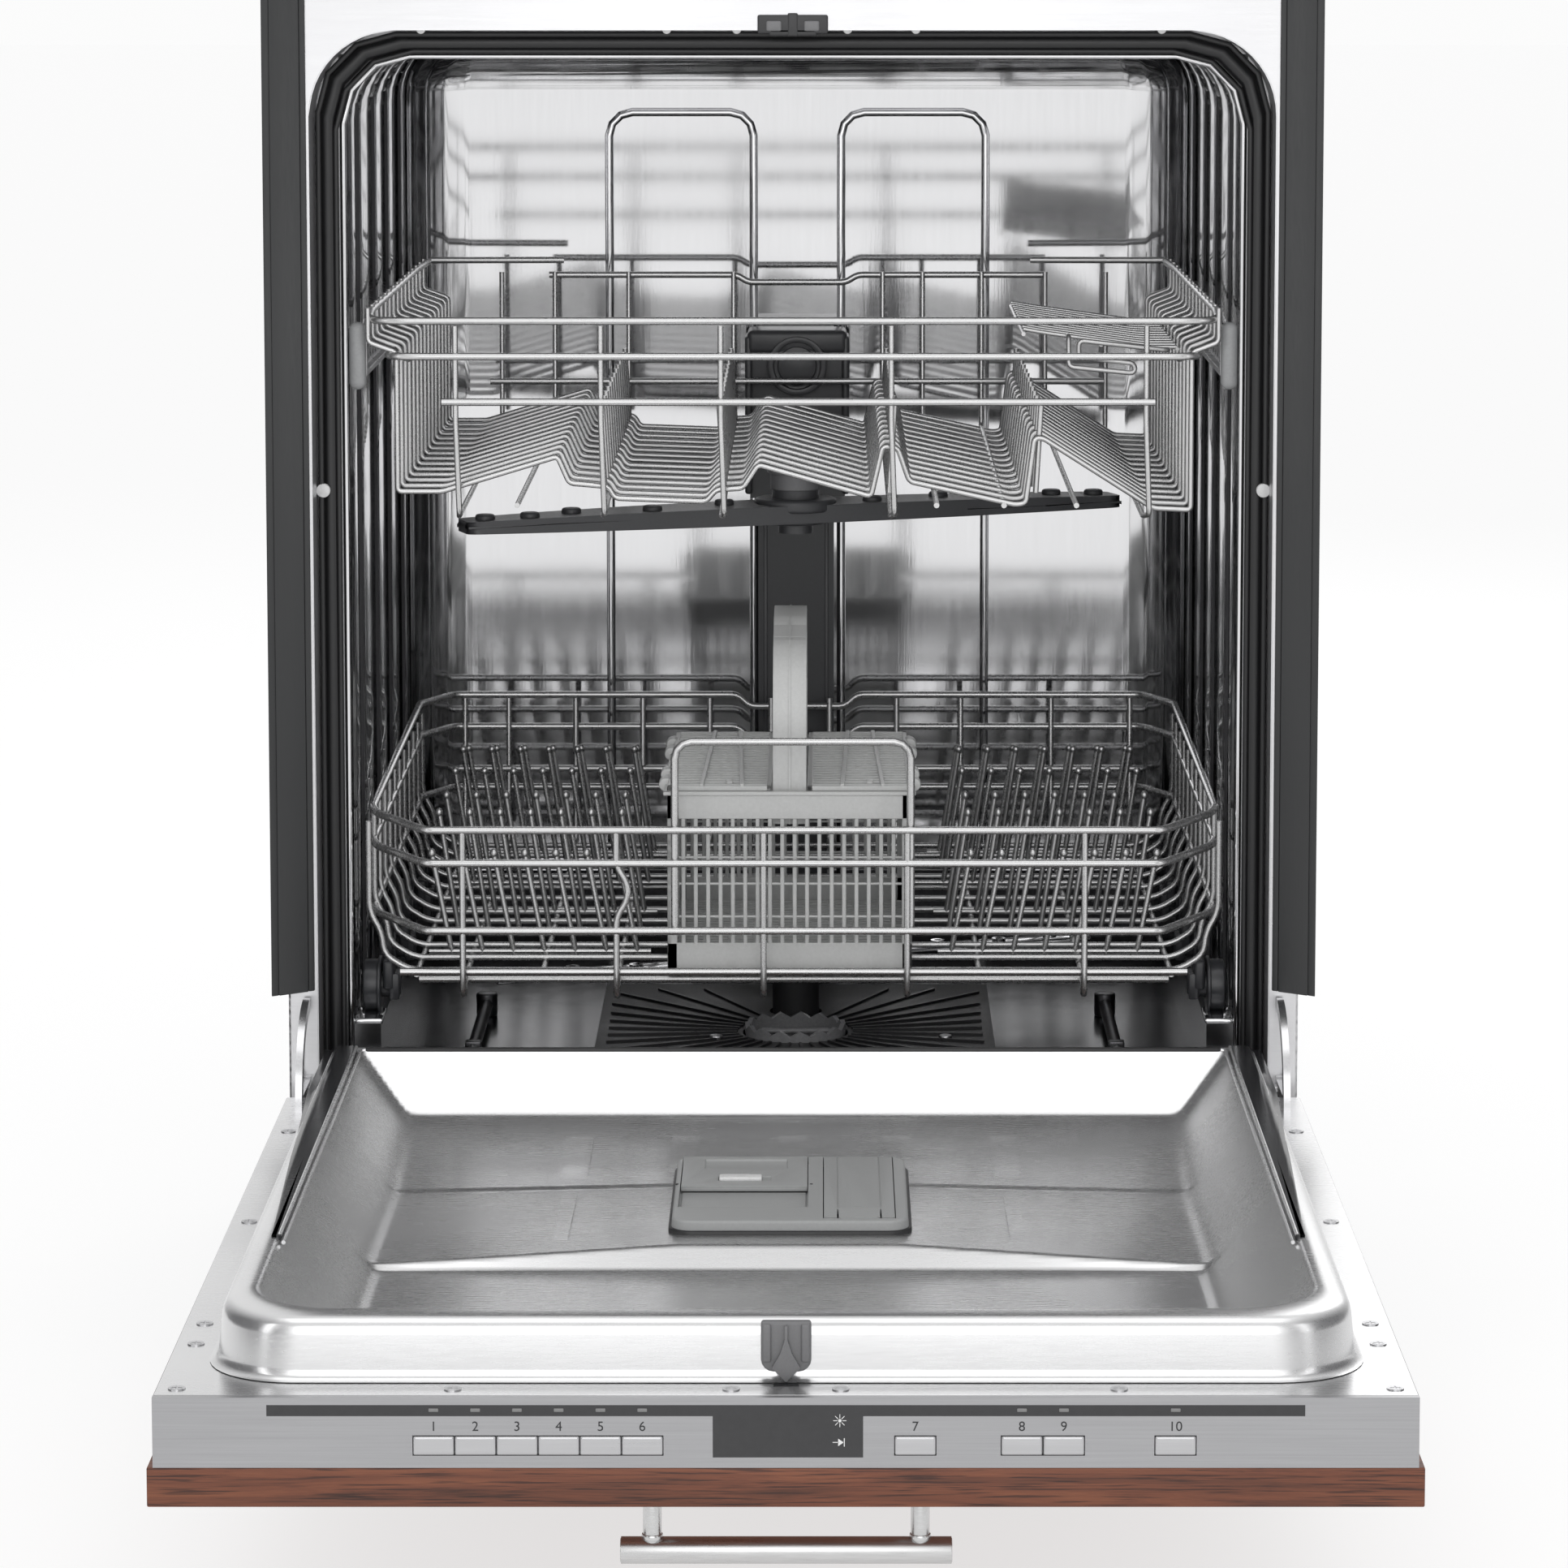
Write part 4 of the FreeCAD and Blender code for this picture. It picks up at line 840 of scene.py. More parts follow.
def ring(height, back, front_half=220):
    """A rail round the rack, closed at the back, with its front corners cut off."""
    rear = [at(side_x, 470, back), at(236, 510, back), at(40, 510, back), at(34, 510, back - 8),
            at(-34, 510, back - 8), at(-40, 510, back), at(-236, 510, back), at(-side_x, 470, back)]
    front = [at(-side_x, 92, height + 4), at(-side_x + 4, 76, height + 3), at(-front_half, 34, height),
             at(front_half, 34, height), at(side_x - 4, 76, height + 3), at(side_x, 92, height + 4)]
    return front + rear + front[:1]


rails = [ring(150, 160), ring(130, 138), ring(89, 96)]
rails.append([at(-236, 40, 63), at(236, 40, 63)])
rails.append([at(-226, 58, 55), at(226, 58, 55)])
rails.append([at(-232, 502, 110), at(232, 502, 110)])
arch = [at(-71, 37, 90), at(-71, 37, 203), at(70, 37, 203), at(70, 37, 90)]
rack_rails = wires("lower_rack_rails", rails, 4.8, 9, 3)
arch_wire = wires("lower_rack_arch", [arch], 4.8, 10, 3)


tine_x, tine_lean, tine_step = 96, 12, 19


def tine_row(depth, low_z, long):
    """Leaning tines on each half of the rack, and the floor rod they are welded to."""
    row = []
    for side in (-1, 1):
        tine = [at(side * tine_x, depth, low_z), at(side * (tine_x + tine_lean), depth, low_z + long)]
        row.append((tine, 7, Vector((side * tine_step / 1000, 0, 0))))
    return row


tines = []
for depth, long in ((112, 62), (176, 76), (240, 76), (398, 80), (452, 72)):
    tines += tine_row(depth, 60, long)
    tines += [[at(-224, depth, 61), at(-88, depth, 61)], [at(88, depth, 61), at(224, depth, 61)]]
rods = wires("lower_rack_tines", tines, 3.4, 3)


def tips(rows, name):
    """A dipped coating leaves a small bead on each tine's tip."""
    beads = []
    for depth, top in rows:
        for side in (-1, 1):
            for n in range(7):
                x = side * (tine_x + tine_lean + tine_step * n)
                bpy.ops.object.select_all(action="DESELECT")
                bpy.ops.mesh.primitive_uv_sphere_add(segments=8, ring_count=5, radius=0.0025,
                                                     location=at(x, depth, top))
                bead = start("bead")
                edit(bead, "vert", lambda v: True)
                bpy.ops.transform.resize(value=(1, 1, 1.25), center_override=at(x, depth, top))
                done()
                bpy.ops.object.shade_smooth()
                beads.append(bead)
    return join(name, *beads)


beads = tips([(112, 122), (176, 136), (240, 136), (398, 140), (452, 132)], "lower_rack_tips")
fit(join("lower_rack_basket", frame_wires, rack_rails, arch_wire, rods, beads), wire_coat, "lower_rack",
    "wire", "lower_rack")

low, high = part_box("folding_tines")
mid_y = ((low.y + high.y) / 2 - FACE) * 1000
top_z = (high.z - DECK) * 1000
folding = tine_row(mid_y, 64, top_z - 66)
folding += [[at(-225, mid_y, 64.5), at(225, mid_y, 64.5)]]
row = wires("folding_rods", folding, 3.4, 3)
fit(join("folding_row", row, tips([(mid_y, top_z - 2)],
                                  "folding_tips")), wire_coat, "folding_tines", "wire", "folding_tines")

wheel_grey = finish("wheel_grey", (0.035, 0.036, 0.04), 0.36, (600, 600, 600), 0.00006)
wheels = []
for depth in (76, 196, 340, 472):
    centre = at(256, depth, 48)
    tyre = drum("tyre", "x", centre, 0.0155, 0.009, 40)
    edit(tyre, "face", lambda f: f.normal.x > 0.9 or f.normal.x < -0.9)
    bpy.ops.mesh.inset(thickness=0.004, use_individual=True)
    bpy.ops.mesh.extrude_region_shrink_fatten(TRANSFORM_OT_shrink_fatten={"value": -0.002})
    done()
    round_edges(tyre, 0.0012, 3)
    flange = turned("flange", "x", centre - Vector((0.005, 0, 0)), 0.0175, 0.002, 40, 0.0007, 2)
    boss = turned("boss", "x", centre - Vector((0.008, 0, 0)), 0.0075, 0.014, 24, 0.0012, 2)
    clip = slab("clip", centre + Vector((-0.014, -0.009, -0.002)),
                centre + Vector((-0.007, 0.009, 0.016)), 0.002, 3)
    fingers = [slab("finger", centre + Vector((-0.017, s * 0.007 - 0.0015, -0.008)),
                    centre + Vector((-0.011, s * 0.007 + 0.0015, 0.008)), 0.001, 2) for s in (-1, 1)]
    wheels.append(join("wheel", tyre, flange, boss, clip, *fingers))
right_wheels = join("right_wheels", *wheels)
left_wheels = across(right_wheels, "left_wheels")
fit(join("rack_rollers", right_wheels, left_wheels), wheel_grey, "lower_rack", "dark_plastic",
    "rack_wheels")


# ---------------------------------------------------------------------------
# Cutlery basket. A light grey moulded basket with barred walls lifts out by its strap.
# Two hinged lids are grilles of slats and ribs, and snap on loops at the sides.
basket_grey = finish("basket_grey", (0.52, 0.525, 0.52), 0.42, (500, 500, 500), 0.00006, 0.05)
low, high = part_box("cutlery_basket")
left, right = low.x * 1000, high.x * 1000
front, back = (low.y - FACE) * 1000, (high.y - FACE) * 1000
base, top = (low.z - DECK) * 1000, 170
wall = 2.4
bars = []


def bar(x0, x1, y0, y1, z0, z1):
    bars.append(block("bar", at(x0, y0, z0), at(x1, y1, z1)))
    return bars[-1]


def repeated(piece, count, step):
    return apply(piece, "ARRAY", count=count, use_relative_offset=False, use_constant_offset=True,
                 constant_offset_displace=step)


for y in (front, back - wall):
    bar(left, right, y, y + wall, base, base + 16)
    bar(left, right, y, y + wall, top - 16, top)
    bar(left, left + 6, y, y + wall, base, top)
    bar(right - 6, right, y, y + wall, base, top)
    count, step = 18, (right - left - 14) / 18
    repeated(bar(left + 6 + step * 0.5 - 1.2, left + 6 + step * 0.5 + 1.2, y + 0.3, y + wall - 0.3,
                 base + 8, top - 8), count, (step * 1.005 / 1000, 0, 0))
    for z in (base + 23, base + 32, base + 52, base + 68):
        bar(left + 3, right - 3, y + 0.6, y + wall - 0.6, z - 0.7, z + 0.7)
for x in (left, right - wall):
    bar(x, x + wall, front, back, base, base + 16)
    bar(x, x + wall, front, back, top - 16, top)
    bar(x, x + wall, front, front + 6, base, top)
    bar(x, x + wall, back - 6, back, base, top)
    step = (back - front - 14) / 26
    repeated(bar(x + 0.3, x + wall - 0.3, front + 6 + step * 0.5 - 1.2, front + 6 + step * 0.5 + 1.2,
                 base + 8, top - 8), 26, (0, step * 1.005 / 1000, 0))
    for z in (base + 23, base + 42, base + 68):
        bar(x + 0.6, x + wall - 0.6, front + 3, back - 3, z - 0.7, z + 0.7)
repeated(bar(left + 2, right - 2, front + 2, front + 5, base, base + 2.4), 26,
         (0, (back - front - 6) / 26 / 1000, 0))
repeated(bar(left + 4, left + 7, front + 2, back - 2, base + 0.3, base + 2.1), 9,
         ((right - left - 8) / 9 / 1000, 0, 0))
bar(left - 2.2, right + 2.2, front - 1, front + 3, top - 1.6, top + 0.6)
bar(left - 2.2, right + 2.2, back - 3, back + 0.6, top - 1.6, top + 0.6)
bar(left - 2.2, left + 2, front, back, top - 1.6, top + 0.6)
bar(right - 2, right + 2.2, front, back, top - 1.6, top + 0.6)
walls = join("walls", *bars)
apply(walls, "BEVEL", width=0.0004, segments=1, limit_method="ANGLE", angle_limit=math.radians(60))
middle = (left + right) / 2
strap = empty_mesh("strap")
lay_run([at(middle - 10, back - 8, 150), at(middle - 10, back - 8, 250),
         at(middle - 10, (front + back) / 2, 269), at(middle - 10, front + 8, 250),
         at(middle - 10, front + 8, 150)], 40, 8)
bpy.ops.mesh.select_all(action="SELECT")
push(0.02, 0, 0)
done()
apply(strap, "SOLIDIFY", thickness=0.0036, offset=0)
round_edges(strap, 0.0009, 2)
seam = empty_mesh("seam")
lay_run([at(middle - 0.5, back - 5.8, 150), at(middle - 0.5, back - 5.8, 251),
         at(middle - 0.5, (front + back) / 2, 271), at(middle - 0.5, front + 5.8, 251),
         at(middle - 0.5, front + 5.8, 150)], 41, 8)
bpy.ops.mesh.select_all(action="SELECT")
push(0.001, 0, 0)
done()
apply(seam, "SOLIDIFY", thickness=0.0008, offset=0)
knuckles = []
for x in (left - 1.5, right + 1.5):
    for depth in (front + 34, front + 70, front + 150, front + 186):
        knuckle = turned("knuckle", "y", at(x, depth, 170), 0.0042, 0.012, 20, 0.001, 2)
        knuckles.append(knuckle)
fit(join("cutlery_basket_body", walls, strap, seam, *knuckles), basket_grey, "cutlery_basket",
    "light_plastic", "cutlery_basket")

for name in ("basket_lid_left", "basket_lid_right"):
    low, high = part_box(name)
    bars = []
    x0, x1 = low.x * 1000, high.x * 1000
    y0, y1 = (low.y - FACE) * 1000, (high.y - FACE) * 1000
    z0, z1 = (low.z - DECK) * 1000, (high.z - DECK) * 1000
    for part in ((x0, x1, y0, y0 + 4), (x0, x1, y1 - 4, y1), (x0, x0 + 3, y0, y1),
                 (x1 - 3, x1, y0, y1)):
        bar(*part, z0, z1)
    repeated(bar(x0 + 1, x1 - 1, y0 + 8, y0 + 10.6, z0 + 0.4, z1 - 0.2), 22,
             (0, (y1 - y0 - 8) / 22 / 1000, 0))
    for part in (0.33, 0.72):
        x = x0 + (x1 - x0) * part
        rib = bar(x - 1.2, x + 1.2, y0 + 1, y1 - 1, z0 + 0.6, z1 + 1.2)
        for vertex in rib.data.vertices:
            vertex.co.x += (vertex.co.y - low.y) * (0.02 if part < 0.5 else -0.02)
    round_edges(bar((x0 + x1) / 2 + 4, (x0 + x1) / 2 + 8, y0 + 12, y0 + 20, z0 + 0.5, z1 + 1), 0.0006,
                2)
    grille = join(name + "_grille", *bars)
    apply(grille, "BEVEL", width=0.0004, segments=1, limit_method="ANGLE", angle_limit=math.radians(60))
    fit(grille, basket_grey, name, "light_plastic", name)


# ---------------------------------------------------------------------------
# Door. A painted steel frame carries the pressed stainless liner, whose basin is deeper at
# its front and whose rim closes on the gasket. Screws round the edge hold the two together.
satin = finish("satin_steel", (0.68, 0.68, 0.685), 0.26, (60, 900, 900), 0.0, 0.02, 0.94, patch=7)
door_paint = finish("door_frame_paint", (0.42, 0.42, 0.425), 0.4, (400, 400, 400), 0.00006, 0.05, 0.6)
clad(door_paint, "door_frame")
sheet_low, sheet_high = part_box("door_liner")
rim_x, rim_front, rim_inner = 275, -620, 257
rim_top = 30

sheet = block("liner_sheet", Vector((sheet_low.x, sheet_low.y, DECK - 0.0012)),
              Vector((sheet_high.x, sheet_high.y, DECK)))
hollow = block("hollow", at(-rim_x + 4, rim_front + 4, -20), at(rim_x - 4, 0, 20))
edit(hollow, "edge", lambda e: abs(e.verts[0].co.z - e.verts[1].co.z) > 0.01 and e.verts[0].co.y < -0.3)
bpy.ops.mesh.bevel(offset=0.038, segments=8, affect="EDGES")
done()
cut(sheet, hollow)
round_edges(sheet, 0.0004, 1)

bpy.ops.object.select_all(action="DESELECT")
bpy.ops.mesh.primitive_plane_add(size=1, location=(0, 0, 0))
rim = start("liner_rim")
foot = (279, -624, -17, 0.4)
for vertex in rim.data.vertices:
    vertex.co = at(foot[0] * (1 if vertex.co.x > 0 else -1), foot[1] if vertex.co.y < 0 else foot[2],
                   foot[3])
edit(rim, "vert", lambda v: v.co.y < -0.3)
bpy.ops.mesh.bevel(offset=0.044, segments=10, affect="VERTICES")
done()
edit(rim, "vert", lambda v: v.co.y > -0.3)
bpy.ops.mesh.bevel(offset=0.008, segments=4, affect="VERTICES")
done()
edit(rim, "face", lambda f: True)
was = foot
for now in ((276.8, -621.8, -19, 1.2), (275.4, -620.6, -19.6, 3), (275, -620.2, -20, 6),
            (273.6, -619, -20, 22), (272.8, -618.2, -20, 26), (271, -616.4, -20.2, 28.6),
            (267.5, -613, -20.6, 30), (259.5, -600, -22, 30), (258, -598, -22.6, 29.6),
            (rim_inner, -597, -23, 28.4)):
    push(0, 0, (now[3] - was[3]) / 1000)
    middle = at(0, (was[1] + was[2]) / 2, now[3])
    bpy.ops.transform.resize(value=(now[0] / was[0],
                                    (now[2] - now[1]) / (was[2] - was[1]), 1), center_override=middle)
    bpy.ops.transform.translate(value=(0, (now[1] + now[2] - was[1] - was[2]) / 2000, 0))
    was = now
bpy.ops.mesh.delete(type="FACE")
done()
edit(rim, "face", lambda f: True)
bpy.ops.mesh.normals_make_consistent(inside=False)
done()
edit(rim, "face", lambda f: f.normal.z < -0.99)
bpy.ops.mesh.delete(type="FACE")
done()
bpy.ops.object.shade_smooth_by_angle(angle=math.radians(40))


def basin(x, depth):
    """The height of the pressed basin, in mm above the deck: flat runs between creases that
    dip towards the corners, with sloping walls blended in at the sides and ends."""
    aside = min(1, max(0, (abs(x) - 60) / 150))
    crease, lip, trough = -197 - 14 * aside, -354 - 15 * aside, -373
    stations = ((0, -4), (-58, -4.5), (crease + 2, -8.6), (crease - 1, -10), (lip, -2 - 6.5 * aside),
                (trough, -12), (-660, -10.5))
    for (y0, z0), (y1, z1) in zip(stations, stations[1:]):
        if y1 <= depth <= y0:
            bottom = z0 + (z1 - z0) * (depth - y0) / (y1 - y0)
            break
    walls = (bottom, rim_top - 1.4 - (rim_inner - abs(x)) * 1.05, rim_top - 1.4 + (depth + 23) * 1.0,
             rim_top - 1.4 - (depth + 597) * 2.4)
    soft = 1.6
    peak = max(walls)
    return peak + soft * math.log(sum(math.exp((w - peak) / soft) for w in walls))


bpy.ops.object.select_all(action="DESELECT")
bpy.ops.mesh.primitive_grid_add(x_subdivisions=150, y_subdivisions=240, size=1, location=(0, 0, 0))
pan = start("liner_basin")
for vertex in pan.data.vertices:
    x, depth = vertex.co.x * 2 * rim_inner, -23 - (0.5 - vertex.co.y) * 574
    corner = 20
    if abs(x) > rim_inner - corner and depth < -597 + corner:
        dx, dy = abs(x) - (rim_inner - corner), (-597 + corner) - depth
        stretch = max(dx, dy) / math.hypot(dx, dy)
        x = math.copysign(rim_inner - corner + dx * stretch, x)
        depth = -597 + corner - dy * stretch
    vertex.co = at(x, depth, basin(x, depth))
bpy.ops.object.shade_smooth()
ribs = []
for x, ends in ((-122, (-86, -194)), (-61, (-86, -180)), (0, (-86, -180)), (60, (-86, -180)),
                (121, (-86, -194)), (-122, (-206, -346)), (121, (-206, -346))):
    wide = 8 if ends[0] > -200 else 4
    rib = block("rib", at(x - wide, ends[1], -20), at(x + wide, ends[0], 20))
    edit(rib, "face", lambda f: abs(f.normal.y) < 0.5)
    bpy.ops.mesh.subdivide(number_cuts=5)
    done()
    for vertex in rib.data.vertices:
        depth = (vertex.co.y - FACE) * 1000
        surface = basin(vertex.co.x * 1000, depth)
        at_end = min(ends[0] - depth, depth - ends[1]) < 1
        vertex.co.z = DECK + (surface + (1.3 if vertex.co.z > DECK and not at_end else -1)) / 1000
    ribs.append(round_edges(rib, 0.0007, 2, 50))
fit(join("door_liner_pressing", sheet, rim, pan, *ribs), satin, "door", "stainless", "door_liner")

screws = []
screw_spots = [(s * 289, d) for s in (-1, 1) for d in (-633, -555, -518, -315, -107)]
screw_spots += [(x, -634) for x in (-158, -26, 26, 158)]
for x, depth in screw_spots:
    head = drum("head", "z", at(x, depth, 0.1), 0.0042, 0.0009, 24)
    edit(head, "face", lambda f: f.normal.z > 0.9)
    bpy.ops.mesh.inset(thickness=0.0012)
    push(0, 0, 0.0001)
    done()
    for turn in (0, 1):
        size = (0.0024, 0.0004) if turn else (0.0004, 0.0024)
        spot = at(x, depth, 1)
        slit = block("slit", spot - Vector((size[0], size[1], 0.0007)), spot + Vector((size[0], size[1],
                                                                                       0.003)))
        cut(head, slit)
    screws.append(head)
fit(join("door_edge_screws", *screws), zinc_plate, "door", "zinc", "door_screws")

tracks = []
for side in (-1, 1):
    track = block("track", at(side * 266 - 9.5, -464, rim_top - 6),
                  at(side * 266 + 9.5, -20, rim_top + 1))
    edit(track, "face", lambda f: abs(f.normal.z) > 0.5 or abs(f.normal.x) > 0.5)
    bpy.ops.mesh.subdivide(number_cuts=7)
    done()
    for vertex in track.data.vertices:
        run = (FACE * 1000 - vertex.co.y * 1000 - 20) / 444
        inner = abs(vertex.co.x) * 1000 < 262
        if not inner and run > 0.25:
            vertex.co.x -= side * (abs(vertex.co.x) - 0.2575) * (run - 0.25) / 0.75 * 0.8
        if not inner and abs(vertex.co.x) * 1000 > 270:
            vertex.co.z -= 0.0025
    tracks.append(round_edges(track, 0.0012, 3, 50))
gloss_plastic = finish("gloss_black_plastic", (0.018, 0.018, 0.02), 0.22, (300, 300, 300), 0.00003)
fit(join("wheel_track_pair", *tracks), gloss_plastic, "door", "dark_plastic", "wheel_tracks")
lips = []
for side in (-1, 1):
    lips.append([at(side * 257.3, -22, rim_top + 0.6), at(side * 257.3, -462, rim_top + 0.6)])
    lips.append([at(side * 254.6, -22, rim_top - 1.2), at(side * 254.6, -470, rim_top - 1.2)])
fit(wires("track_edge_beads", lips, 2.2, 1, 2), satin, "door", "stainless")
brow = slab("rear_seal", at(-252, -23.5, rim_top - 7), at(252, -20.2, rim_top + 0.4), 0.001, 2)
fit(brow, gasket_rubber, "door", "rubber")

plate = block("plate", at(-12, -622.6, 5), at(12, -617, 29.5))
edit(plate, "edge", lambda e: abs(e.verts[0].co.y - e.verts[1].co.y) > 0.003
     and e.verts[0].co.z < DECK + 0.01)
bpy.ops.mesh.bevel(offset=0.006, segments=4, affect="EDGES")
done()
keeper = [round_edges(plate, 0.0014, 4)]
for side in (-1, 1):
    cheek = block("cheek", at(side * 9.3 - 2.2, -624.2, 10), at(side * 9.3 + 2.2, -619, 28.6))
    keeper.append(round_edges(cheek, 0.0012, 3))
arrow = block("arrow", at(-3.6, -625.2, 1), at(3.6, -618, 28))
edit(arrow, "face", lambda f: abs(f.normal.x) > 0.5 or abs(f.normal.y) > 0.5)
bpy.ops.mesh.subdivide(number_cuts=3)
done()
for vertex in arrow.data.vertices:
    up = (vertex.co.z - DECK) * 1000
    share = 0.2 if up > 18 else 0.8 if up > 10 else 1.9 if up > 5 else 0.12
    vertex.co.x *= share
keeper.append(round_edges(arrow, 0.0006, 2))
fit(join("door_keeper", *keeper), mould_grey, "door", "dark_plastic", "door_latch")
# A thin near-black slab lying on the liner just below the keeper is a painted shadow, not a real slot.
shade = slab("keeper_painted_shadow", at(-6, -630, -0.6), at(6, -621, 0.25), 0.0001, 1)
fit(shade, gloss_plastic, "door", "dark_plastic")


# ---------------------------------------------------------------------------
# Dispenser. A light grey moulded case is pressed through the liner on a seal. Its detergent
# lid slides on rails with a white thumb catch, and the rinse aid lid lifts at its front.
dispenser_grey = finish("dispenser_grey", (0.33, 0.335, 0.335), 0.4, (500, 500, 500), 0.00006, 0.05)
low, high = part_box("dispenser_body")
lid_low, lid_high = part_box("detergent_lid")
rinse_low, rinse_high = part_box("rinse_lid")
case = block("case", low, high)
edit(case, "edge", lambda e: abs(e.verts[0].co.z - e.verts[1].co.z) > 0.01)
bpy.ops.mesh.bevel(offset=0.011, segments=6, affect="EDGES")
done()
edit(case, "face", lambda f: f.normal.z > 0.9)
bpy.ops.transform.resize(value=(0.985, 0.985, 1), center_override=(low + high) / 2)
done()
round_edges(case, 0.0016, 4)
gap = 0.0005
bay = block("bay", (lid_low.x - gap, lid_low.y - 0.0465, high.z - 0.0045),
            (lid_high.x + gap, lid_high.y + gap, high.z + 0.01))
cut(case, bay)
flap_bay = block("flap_bay", (rinse_low.x - gap, rinse_low.y - 0.003, high.z - 0.0065),
                 (rinse_high.x + gap, rinse_high.y + gap, high.z + 0.01))
cut(case, flap_bay)
bpy.ops.object.shade_smooth_by_angle(angle=math.radians(40))
panel = slab("tray_floor", (lid_low.x + 0.0006, lid_low.y - 0.034, high.z - 0.006),
             (lid_high.x - 0.0006, lid_low.y + 0.001, high.z - 0.0037), 0.0006, 3)
lugs = [turned("lug", "z", (x, lid_low.y + 0.004, high.z - 0.0001), 0.0009, 0.0008, 12, 0.0002, 1)
        for x in (lid_low.x - 0.0022, lid_high.x + 0.0022)]
fit(join("dispenser_case", case, panel), dispenser_grey, "door", "light_plastic", "dispenser_body")
fit(join("dispenser_pips", *lugs), gloss_plastic, "door", "dark_plastic")
seal = block("dispenser_seal", (low.x - 0.001, low.y - 0.0016, DECK - 0.009),
             (high.x + 0.001, high.y + 0.001, DECK - 0.0012))
edit(seal, "edge", lambda e: abs(e.verts[0].co.z - e.verts[1].co.z) > 0.003)
bpy.ops.mesh.bevel(offset=0.012, segments=6, affect="EDGES")
done()
fit(round_edges(seal, 0.001, 2), gasket_rubber, "door", "rubber")

lid = block("lid", lid_low, lid_high)
dish = block("dish", (lid_low.x + 0.012, lid_high.y - 0.028, lid_high.z - 0.0012),
             (lid_high.x - 0.011, lid_high.y - 0.006, lid_high.z + 0.01))
round_edges(dish, 0.001, 3)
cut(lid, dish)
catch_low, catch_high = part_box("lid_catch")
groove = block("groove", (catch_low.x - 0.0006, catch_low.y - 0.0007, lid_high.z - 0.0016),
               (catch_high.x + 0.0052, catch_high.y + 0.0006, lid_high.z + 0.01))
cut(lid, groove)
round_edges(lid, 0.0005, 2)
nib = slab("nib", (lid_low.x, lid_low.y - 0.0002, lid_low.z),
           (lid_high.x, lid_low.y + 0.001, lid_high.z - 0.0012), 0.0003, 2)
fit(join("detergent_slide_lid", lid, nib), dispenser_grey, "detergent_lid", "light_plastic",
    "detergent_lid")

catch = block("catch", catch_low, catch_high)
round_edges(catch, 0.0009, 4)
grips = []
for n in range(12):
    x = catch_low.x + 0.0025 + n * 0.0012
    grip = block("grip", (x, catch_low.y + 0.0012, catch_high.z - 0.0003),
                 (x + 0.0005, catch_high.y - 0.001, catch_high.z + 0.0003))
    grips.append(grip)
fit(join("lid_thumb_catch", catch, *grips), white_nylon, "lid_catch", "white_plastic", "lid_catch")

flap = block("flap", rinse_low, rinse_high)
for side in (-1, 1):
    x = (rinse_low.x + rinse_high.x) / 2 + side * 0.0115
    split = block("split", (x - 0.0004, rinse_low.y - 0.01, rinse_low.z - 0.01),
                  (x + 0.0004, rinse_low.y + 0.018, rinse_high.z + 0.01))
    cut(flap, split)
    line = block("line", (x - 0.0003, rinse_low.y + 0.02, rinse_high.z - 0.0004),
                 (x + 0.0003, rinse_high.y + 0.01, rinse_high.z + 0.01))
    cut(flap, line)
mark = block("mark", ((rinse_low.x + rinse_high.x) / 2 - 0.003, rinse_low.y + 0.022,
                      rinse_high.z - 0.0005), ((rinse_low.x + rinse_high.x) / 2 + 0.003,
                                               rinse_low.y + 0.0232, rinse_high.z + 0.01))
cut(flap, mark)
round_edges(flap, 0.0006, 2)
thumb = slab("thumb", ((rinse_low.x + rinse_high.x) / 2 - 0.0105, rinse_low.y - 0.0022,
                       rinse_low.z + 0.0002), ((rinse_low.x + rinse_high.x) / 2 + 0.0105,
                                               rinse_low.y + 0.003, rinse_high.z - 0.0004), 0.001, 3)
fit(join("rinse_aid_lid", flap, thumb), dispenser_grey, "rinse_lid", "light_plastic", "rinse_lid")


# ---------------------------------------------------------------------------
# Controls. A brushed aluminium fascia closes the door's edge. A black strip holds the
# lamps and the display, and ten sprung buttons sit in its openings, each with a numeral.
fascia_metal = finish("brushed_fascia", (0.38, 0.38, 0.39), 0.36, (10, 900, 900), 0.00003, 0.07, 0.85)
clad(fascia_metal, "control_panel")
gloss_black = finish("strip_black", (0.022, 0.022, 0.024), 0.12, (200, 200, 200), 0.0, 0.1, 0.0, 0.3)
clad(gloss_black, "control_strip")
panel_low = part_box("control_panel")[0]
strip_low, strip_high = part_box("control_strip")
button_metal = finish("button_metal", (0.5, 0.5, 0.51), 0.3, (12, 700, 700), 0.00002, 0.05, 0.9)
lamps, marks = [], []
for n in range(1, 11):
    low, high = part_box(f"button_{n}")
    key = block(f"key_{n}", low, high)
    edit(key, "face", lambda f: f.normal.y < -0.9)
    bpy.ops.mesh.inset(thickness=0.0009)
    bpy.ops.transform.translate(value=(0, -0.0004, 0))
    done()
    round_edges(key, 0.0005, 3, 20)
    fit(key, button_metal, f"button_{n}", "fascia", f"button_{n}")
    middle = (low.x + high.x) / 2
    if n != 7:
        lamp = block("lamp", (middle - 0.0023, strip_low.y - 0.0003, strip_high.z - 0.0033),
                     (middle + 0.0023, strip_low.y + 0.0005, strip_high.z - 0.0016))
        lamps.append(round_edges(lamp, 0.0003, 2))
    bpy.ops.object.select_all(action="DESELECT")
    bpy.ops.object.text_add(location=(middle, panel_low.y - 0.00006, high.z + 0.0026),
                            rotation=(math.pi / 2, 0, 0))
    text = bpy.context.object
    text.data.body = str(n)
    text.data.size = 0.0066
    text.data.align_x = "CENTER"
    text.data.extrude = 0.00005
    bpy.ops.object.convert(target="MESH")
    marks.append(start("mark"))
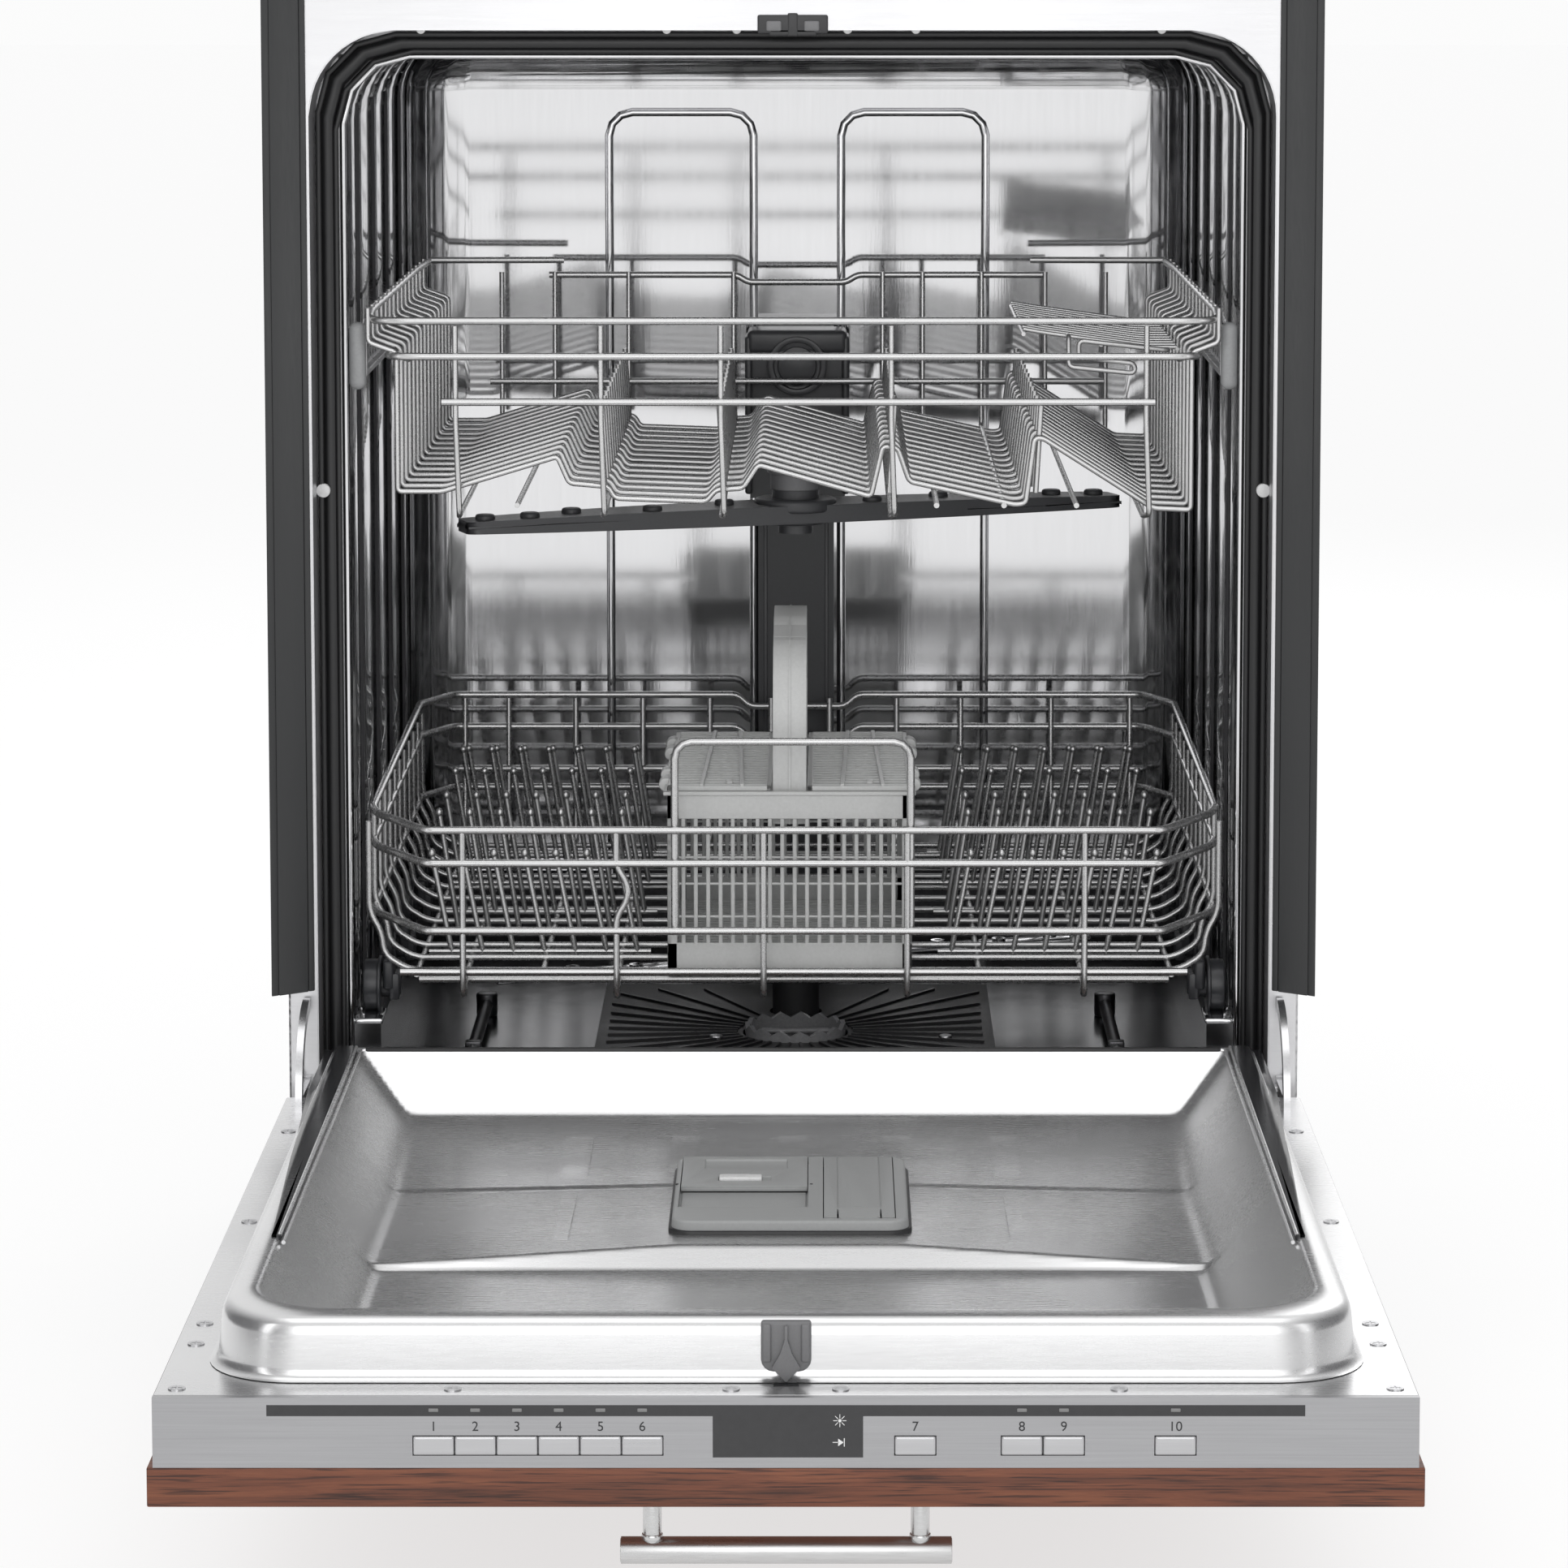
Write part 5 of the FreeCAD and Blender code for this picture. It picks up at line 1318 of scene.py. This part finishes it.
lamp_grey = finish("lamp_grey", (0.2, 0.2, 0.2), 0.3, (300, 300, 300), 0.0)
fit(join("strip_lamps", *lamps), lamp_grey, "door", "grey_plastic")
ink = finish("mark_ink", (0.02, 0.02, 0.022), 0.5, (500, 500, 500), 0.0)
fit(join("button_marks", *marks), ink, "door", "gloss_black")

symbols = []
spot = Vector((0.0255, strip_low.y - 0.0002, strip_high.z - 0.0075))
for n in range(8):
    ray = block("ray", (-0.00016, -0.0001, 0.0012), (0.00016, 0.0001, 0.0031))
    ray.rotation_euler = (0, n / 8 * math.tau, 0)
    ray.location = spot
    settle(ray)
    symbols.append(ray)
sun = turned("sun", "y", spot, 0.0008, 0.0003, 20, 0.00005, 1)
below = spot - Vector((0, 0, 0.0105))
stem = block("stem", below + Vector((-0.0034, -0.0001, -0.00016)),
             below + Vector((-0.0004, 0.0001, 0.00016)))
head = block("head", below + Vector((-0.0008, -0.0001, -0.0018)),
             below + Vector((0.0016, 0.0001, 0.0018)))
for vertex in head.data.vertices:
    if vertex.co.x > below.x:
        vertex.co.z = below.z + (vertex.co.z - below.z) * 0.08
post = block("post", below + Vector((0.0019, -0.0001, -0.002)), below + Vector((0.0023, 0.0001, 0.002)))
icon_white = finish("icon_white", (0.75, 0.75, 0.75), 0.4, (300, 300, 300), 0.0)
fit(join("display_symbols", sun, stem, head, post, *symbols), icon_white, "door", "white_plastic")


# ---------------------------------------------------------------------------
# Front panel and pull. A solid walnut board with a clear oil finish is screwed to the
# door's outside, and a brushed stainless bar pull is bolted through it on two posts.
walnut = bpy.data.materials.new("oiled_walnut")
walnut.use_nodes = True
nodes, links = walnut.node_tree.nodes, walnut.node_tree.links
shader = nodes["Principled BSDF"]
shader.inputs["Coat Weight"].default_value = 0.03
place = add(nodes, "TexCoord")
along = add(nodes, "Mapping", Scale=(7, 60, 150))
figure = add(nodes, "TexNoise", Scale=1, Detail=8, Roughness=0.7, Distortion=0.5)
tones = ramp(nodes, (0.28, (0.045, 0.013, 0.006)), (0.72, (0.23, 0.074, 0.03)))
tones.color_ramp.elements.new(0.5).color = (0.145, 0.042, 0.018, 1)
fibre = add(nodes, "Mapping", Scale=(26, 700, 900))
pores = add(nodes, "TexNoise", Scale=1, Detail=3)
streaks = ramp(nodes, (0.36, (0.22, 0.17, 0.14)), (0.46, (1, 1, 1)))
over = add(nodes, "Mix")
over.data_type = "RGBA"
over.blend_type = "MULTIPLY"
over.inputs["Factor"].default_value = 0.85
relief = add(nodes, "Bump", Strength=0.5, Distance=0.0002)
gloss = add(nodes, "MapRange", To_Min=0.62, To_Max=0.36)
links.new(place.outputs["Object"], along.inputs["Vector"])
links.new(place.outputs["Object"], fibre.inputs["Vector"])
links.new(along.outputs["Vector"], figure.inputs["Vector"])
links.new(fibre.outputs["Vector"], pores.inputs["Vector"])
links.new(figure.outputs["Fac"], tones.inputs["Fac"])
links.new(pores.outputs["Fac"], streaks.inputs["Fac"])
links.new(tones.outputs["Color"], over.inputs["A"])
links.new(streaks.outputs["Color"], over.inputs["B"])
links.new(over.outputs["Result"], shader.inputs["Base Color"])
links.new(pores.outputs["Fac"], relief.inputs["Height"])
links.new(relief.outputs["Normal"], shader.inputs["Normal"])
links.new(figure.outputs["Fac"], gloss.inputs["Value"])
links.new(gloss.outputs[0], shader.inputs["Roughness"])
low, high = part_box("wood_panel")
board = slab("walnut_board", low, high, 0.0008, 3)
fit(board, walnut, "door", "walnut", "wood_panel")

brushed = finish("brushed_steel", (0.6, 0.6, 0.6), 0.27, (60, 900, 900), 0.00003, 0.08, 1.0)
low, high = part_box("door_handle")
radius = 0.0065
centre = Vector((0, low.y + radius, low.z + radius))
grip = drum("grip", "x", centre, radius, high.x - low.x, 48)
edit(grip, "face", lambda f: abs(f.normal.x) > 0.9)
bpy.ops.mesh.inset(thickness=0.0008, use_individual=True)
bpy.ops.mesh.extrude_region_shrink_fatten(TRANSFORM_OT_shrink_fatten={"value": 0.0003})
done()
round_edges(grip, 0.0005, 2)
posts = []
for x in (-0.064, 0.064):
    post = drum("post", "z", (x, centre.y, (centre.z + high.z) / 2), 0.0045, high.z - centre.z, 32)
    posts.append(round_edges(post, 0.0004, 2))
    ferrule = drum("ferrule", "z", (x, centre.y, high.z - 0.0011), 0.0058, 0.0022, 32)
    posts.append(round_edges(ferrule, 0.0005, 2))
    saddle = drum("saddle", "z", (x, centre.y, centre.z + radius + 0.0004), 0.0052, 0.003, 32)
    posts.append(round_edges(saddle, 0.0008, 2))
fit(join("bar_pull", grip, *posts), brushed, "door", "stainless", "door_handle")
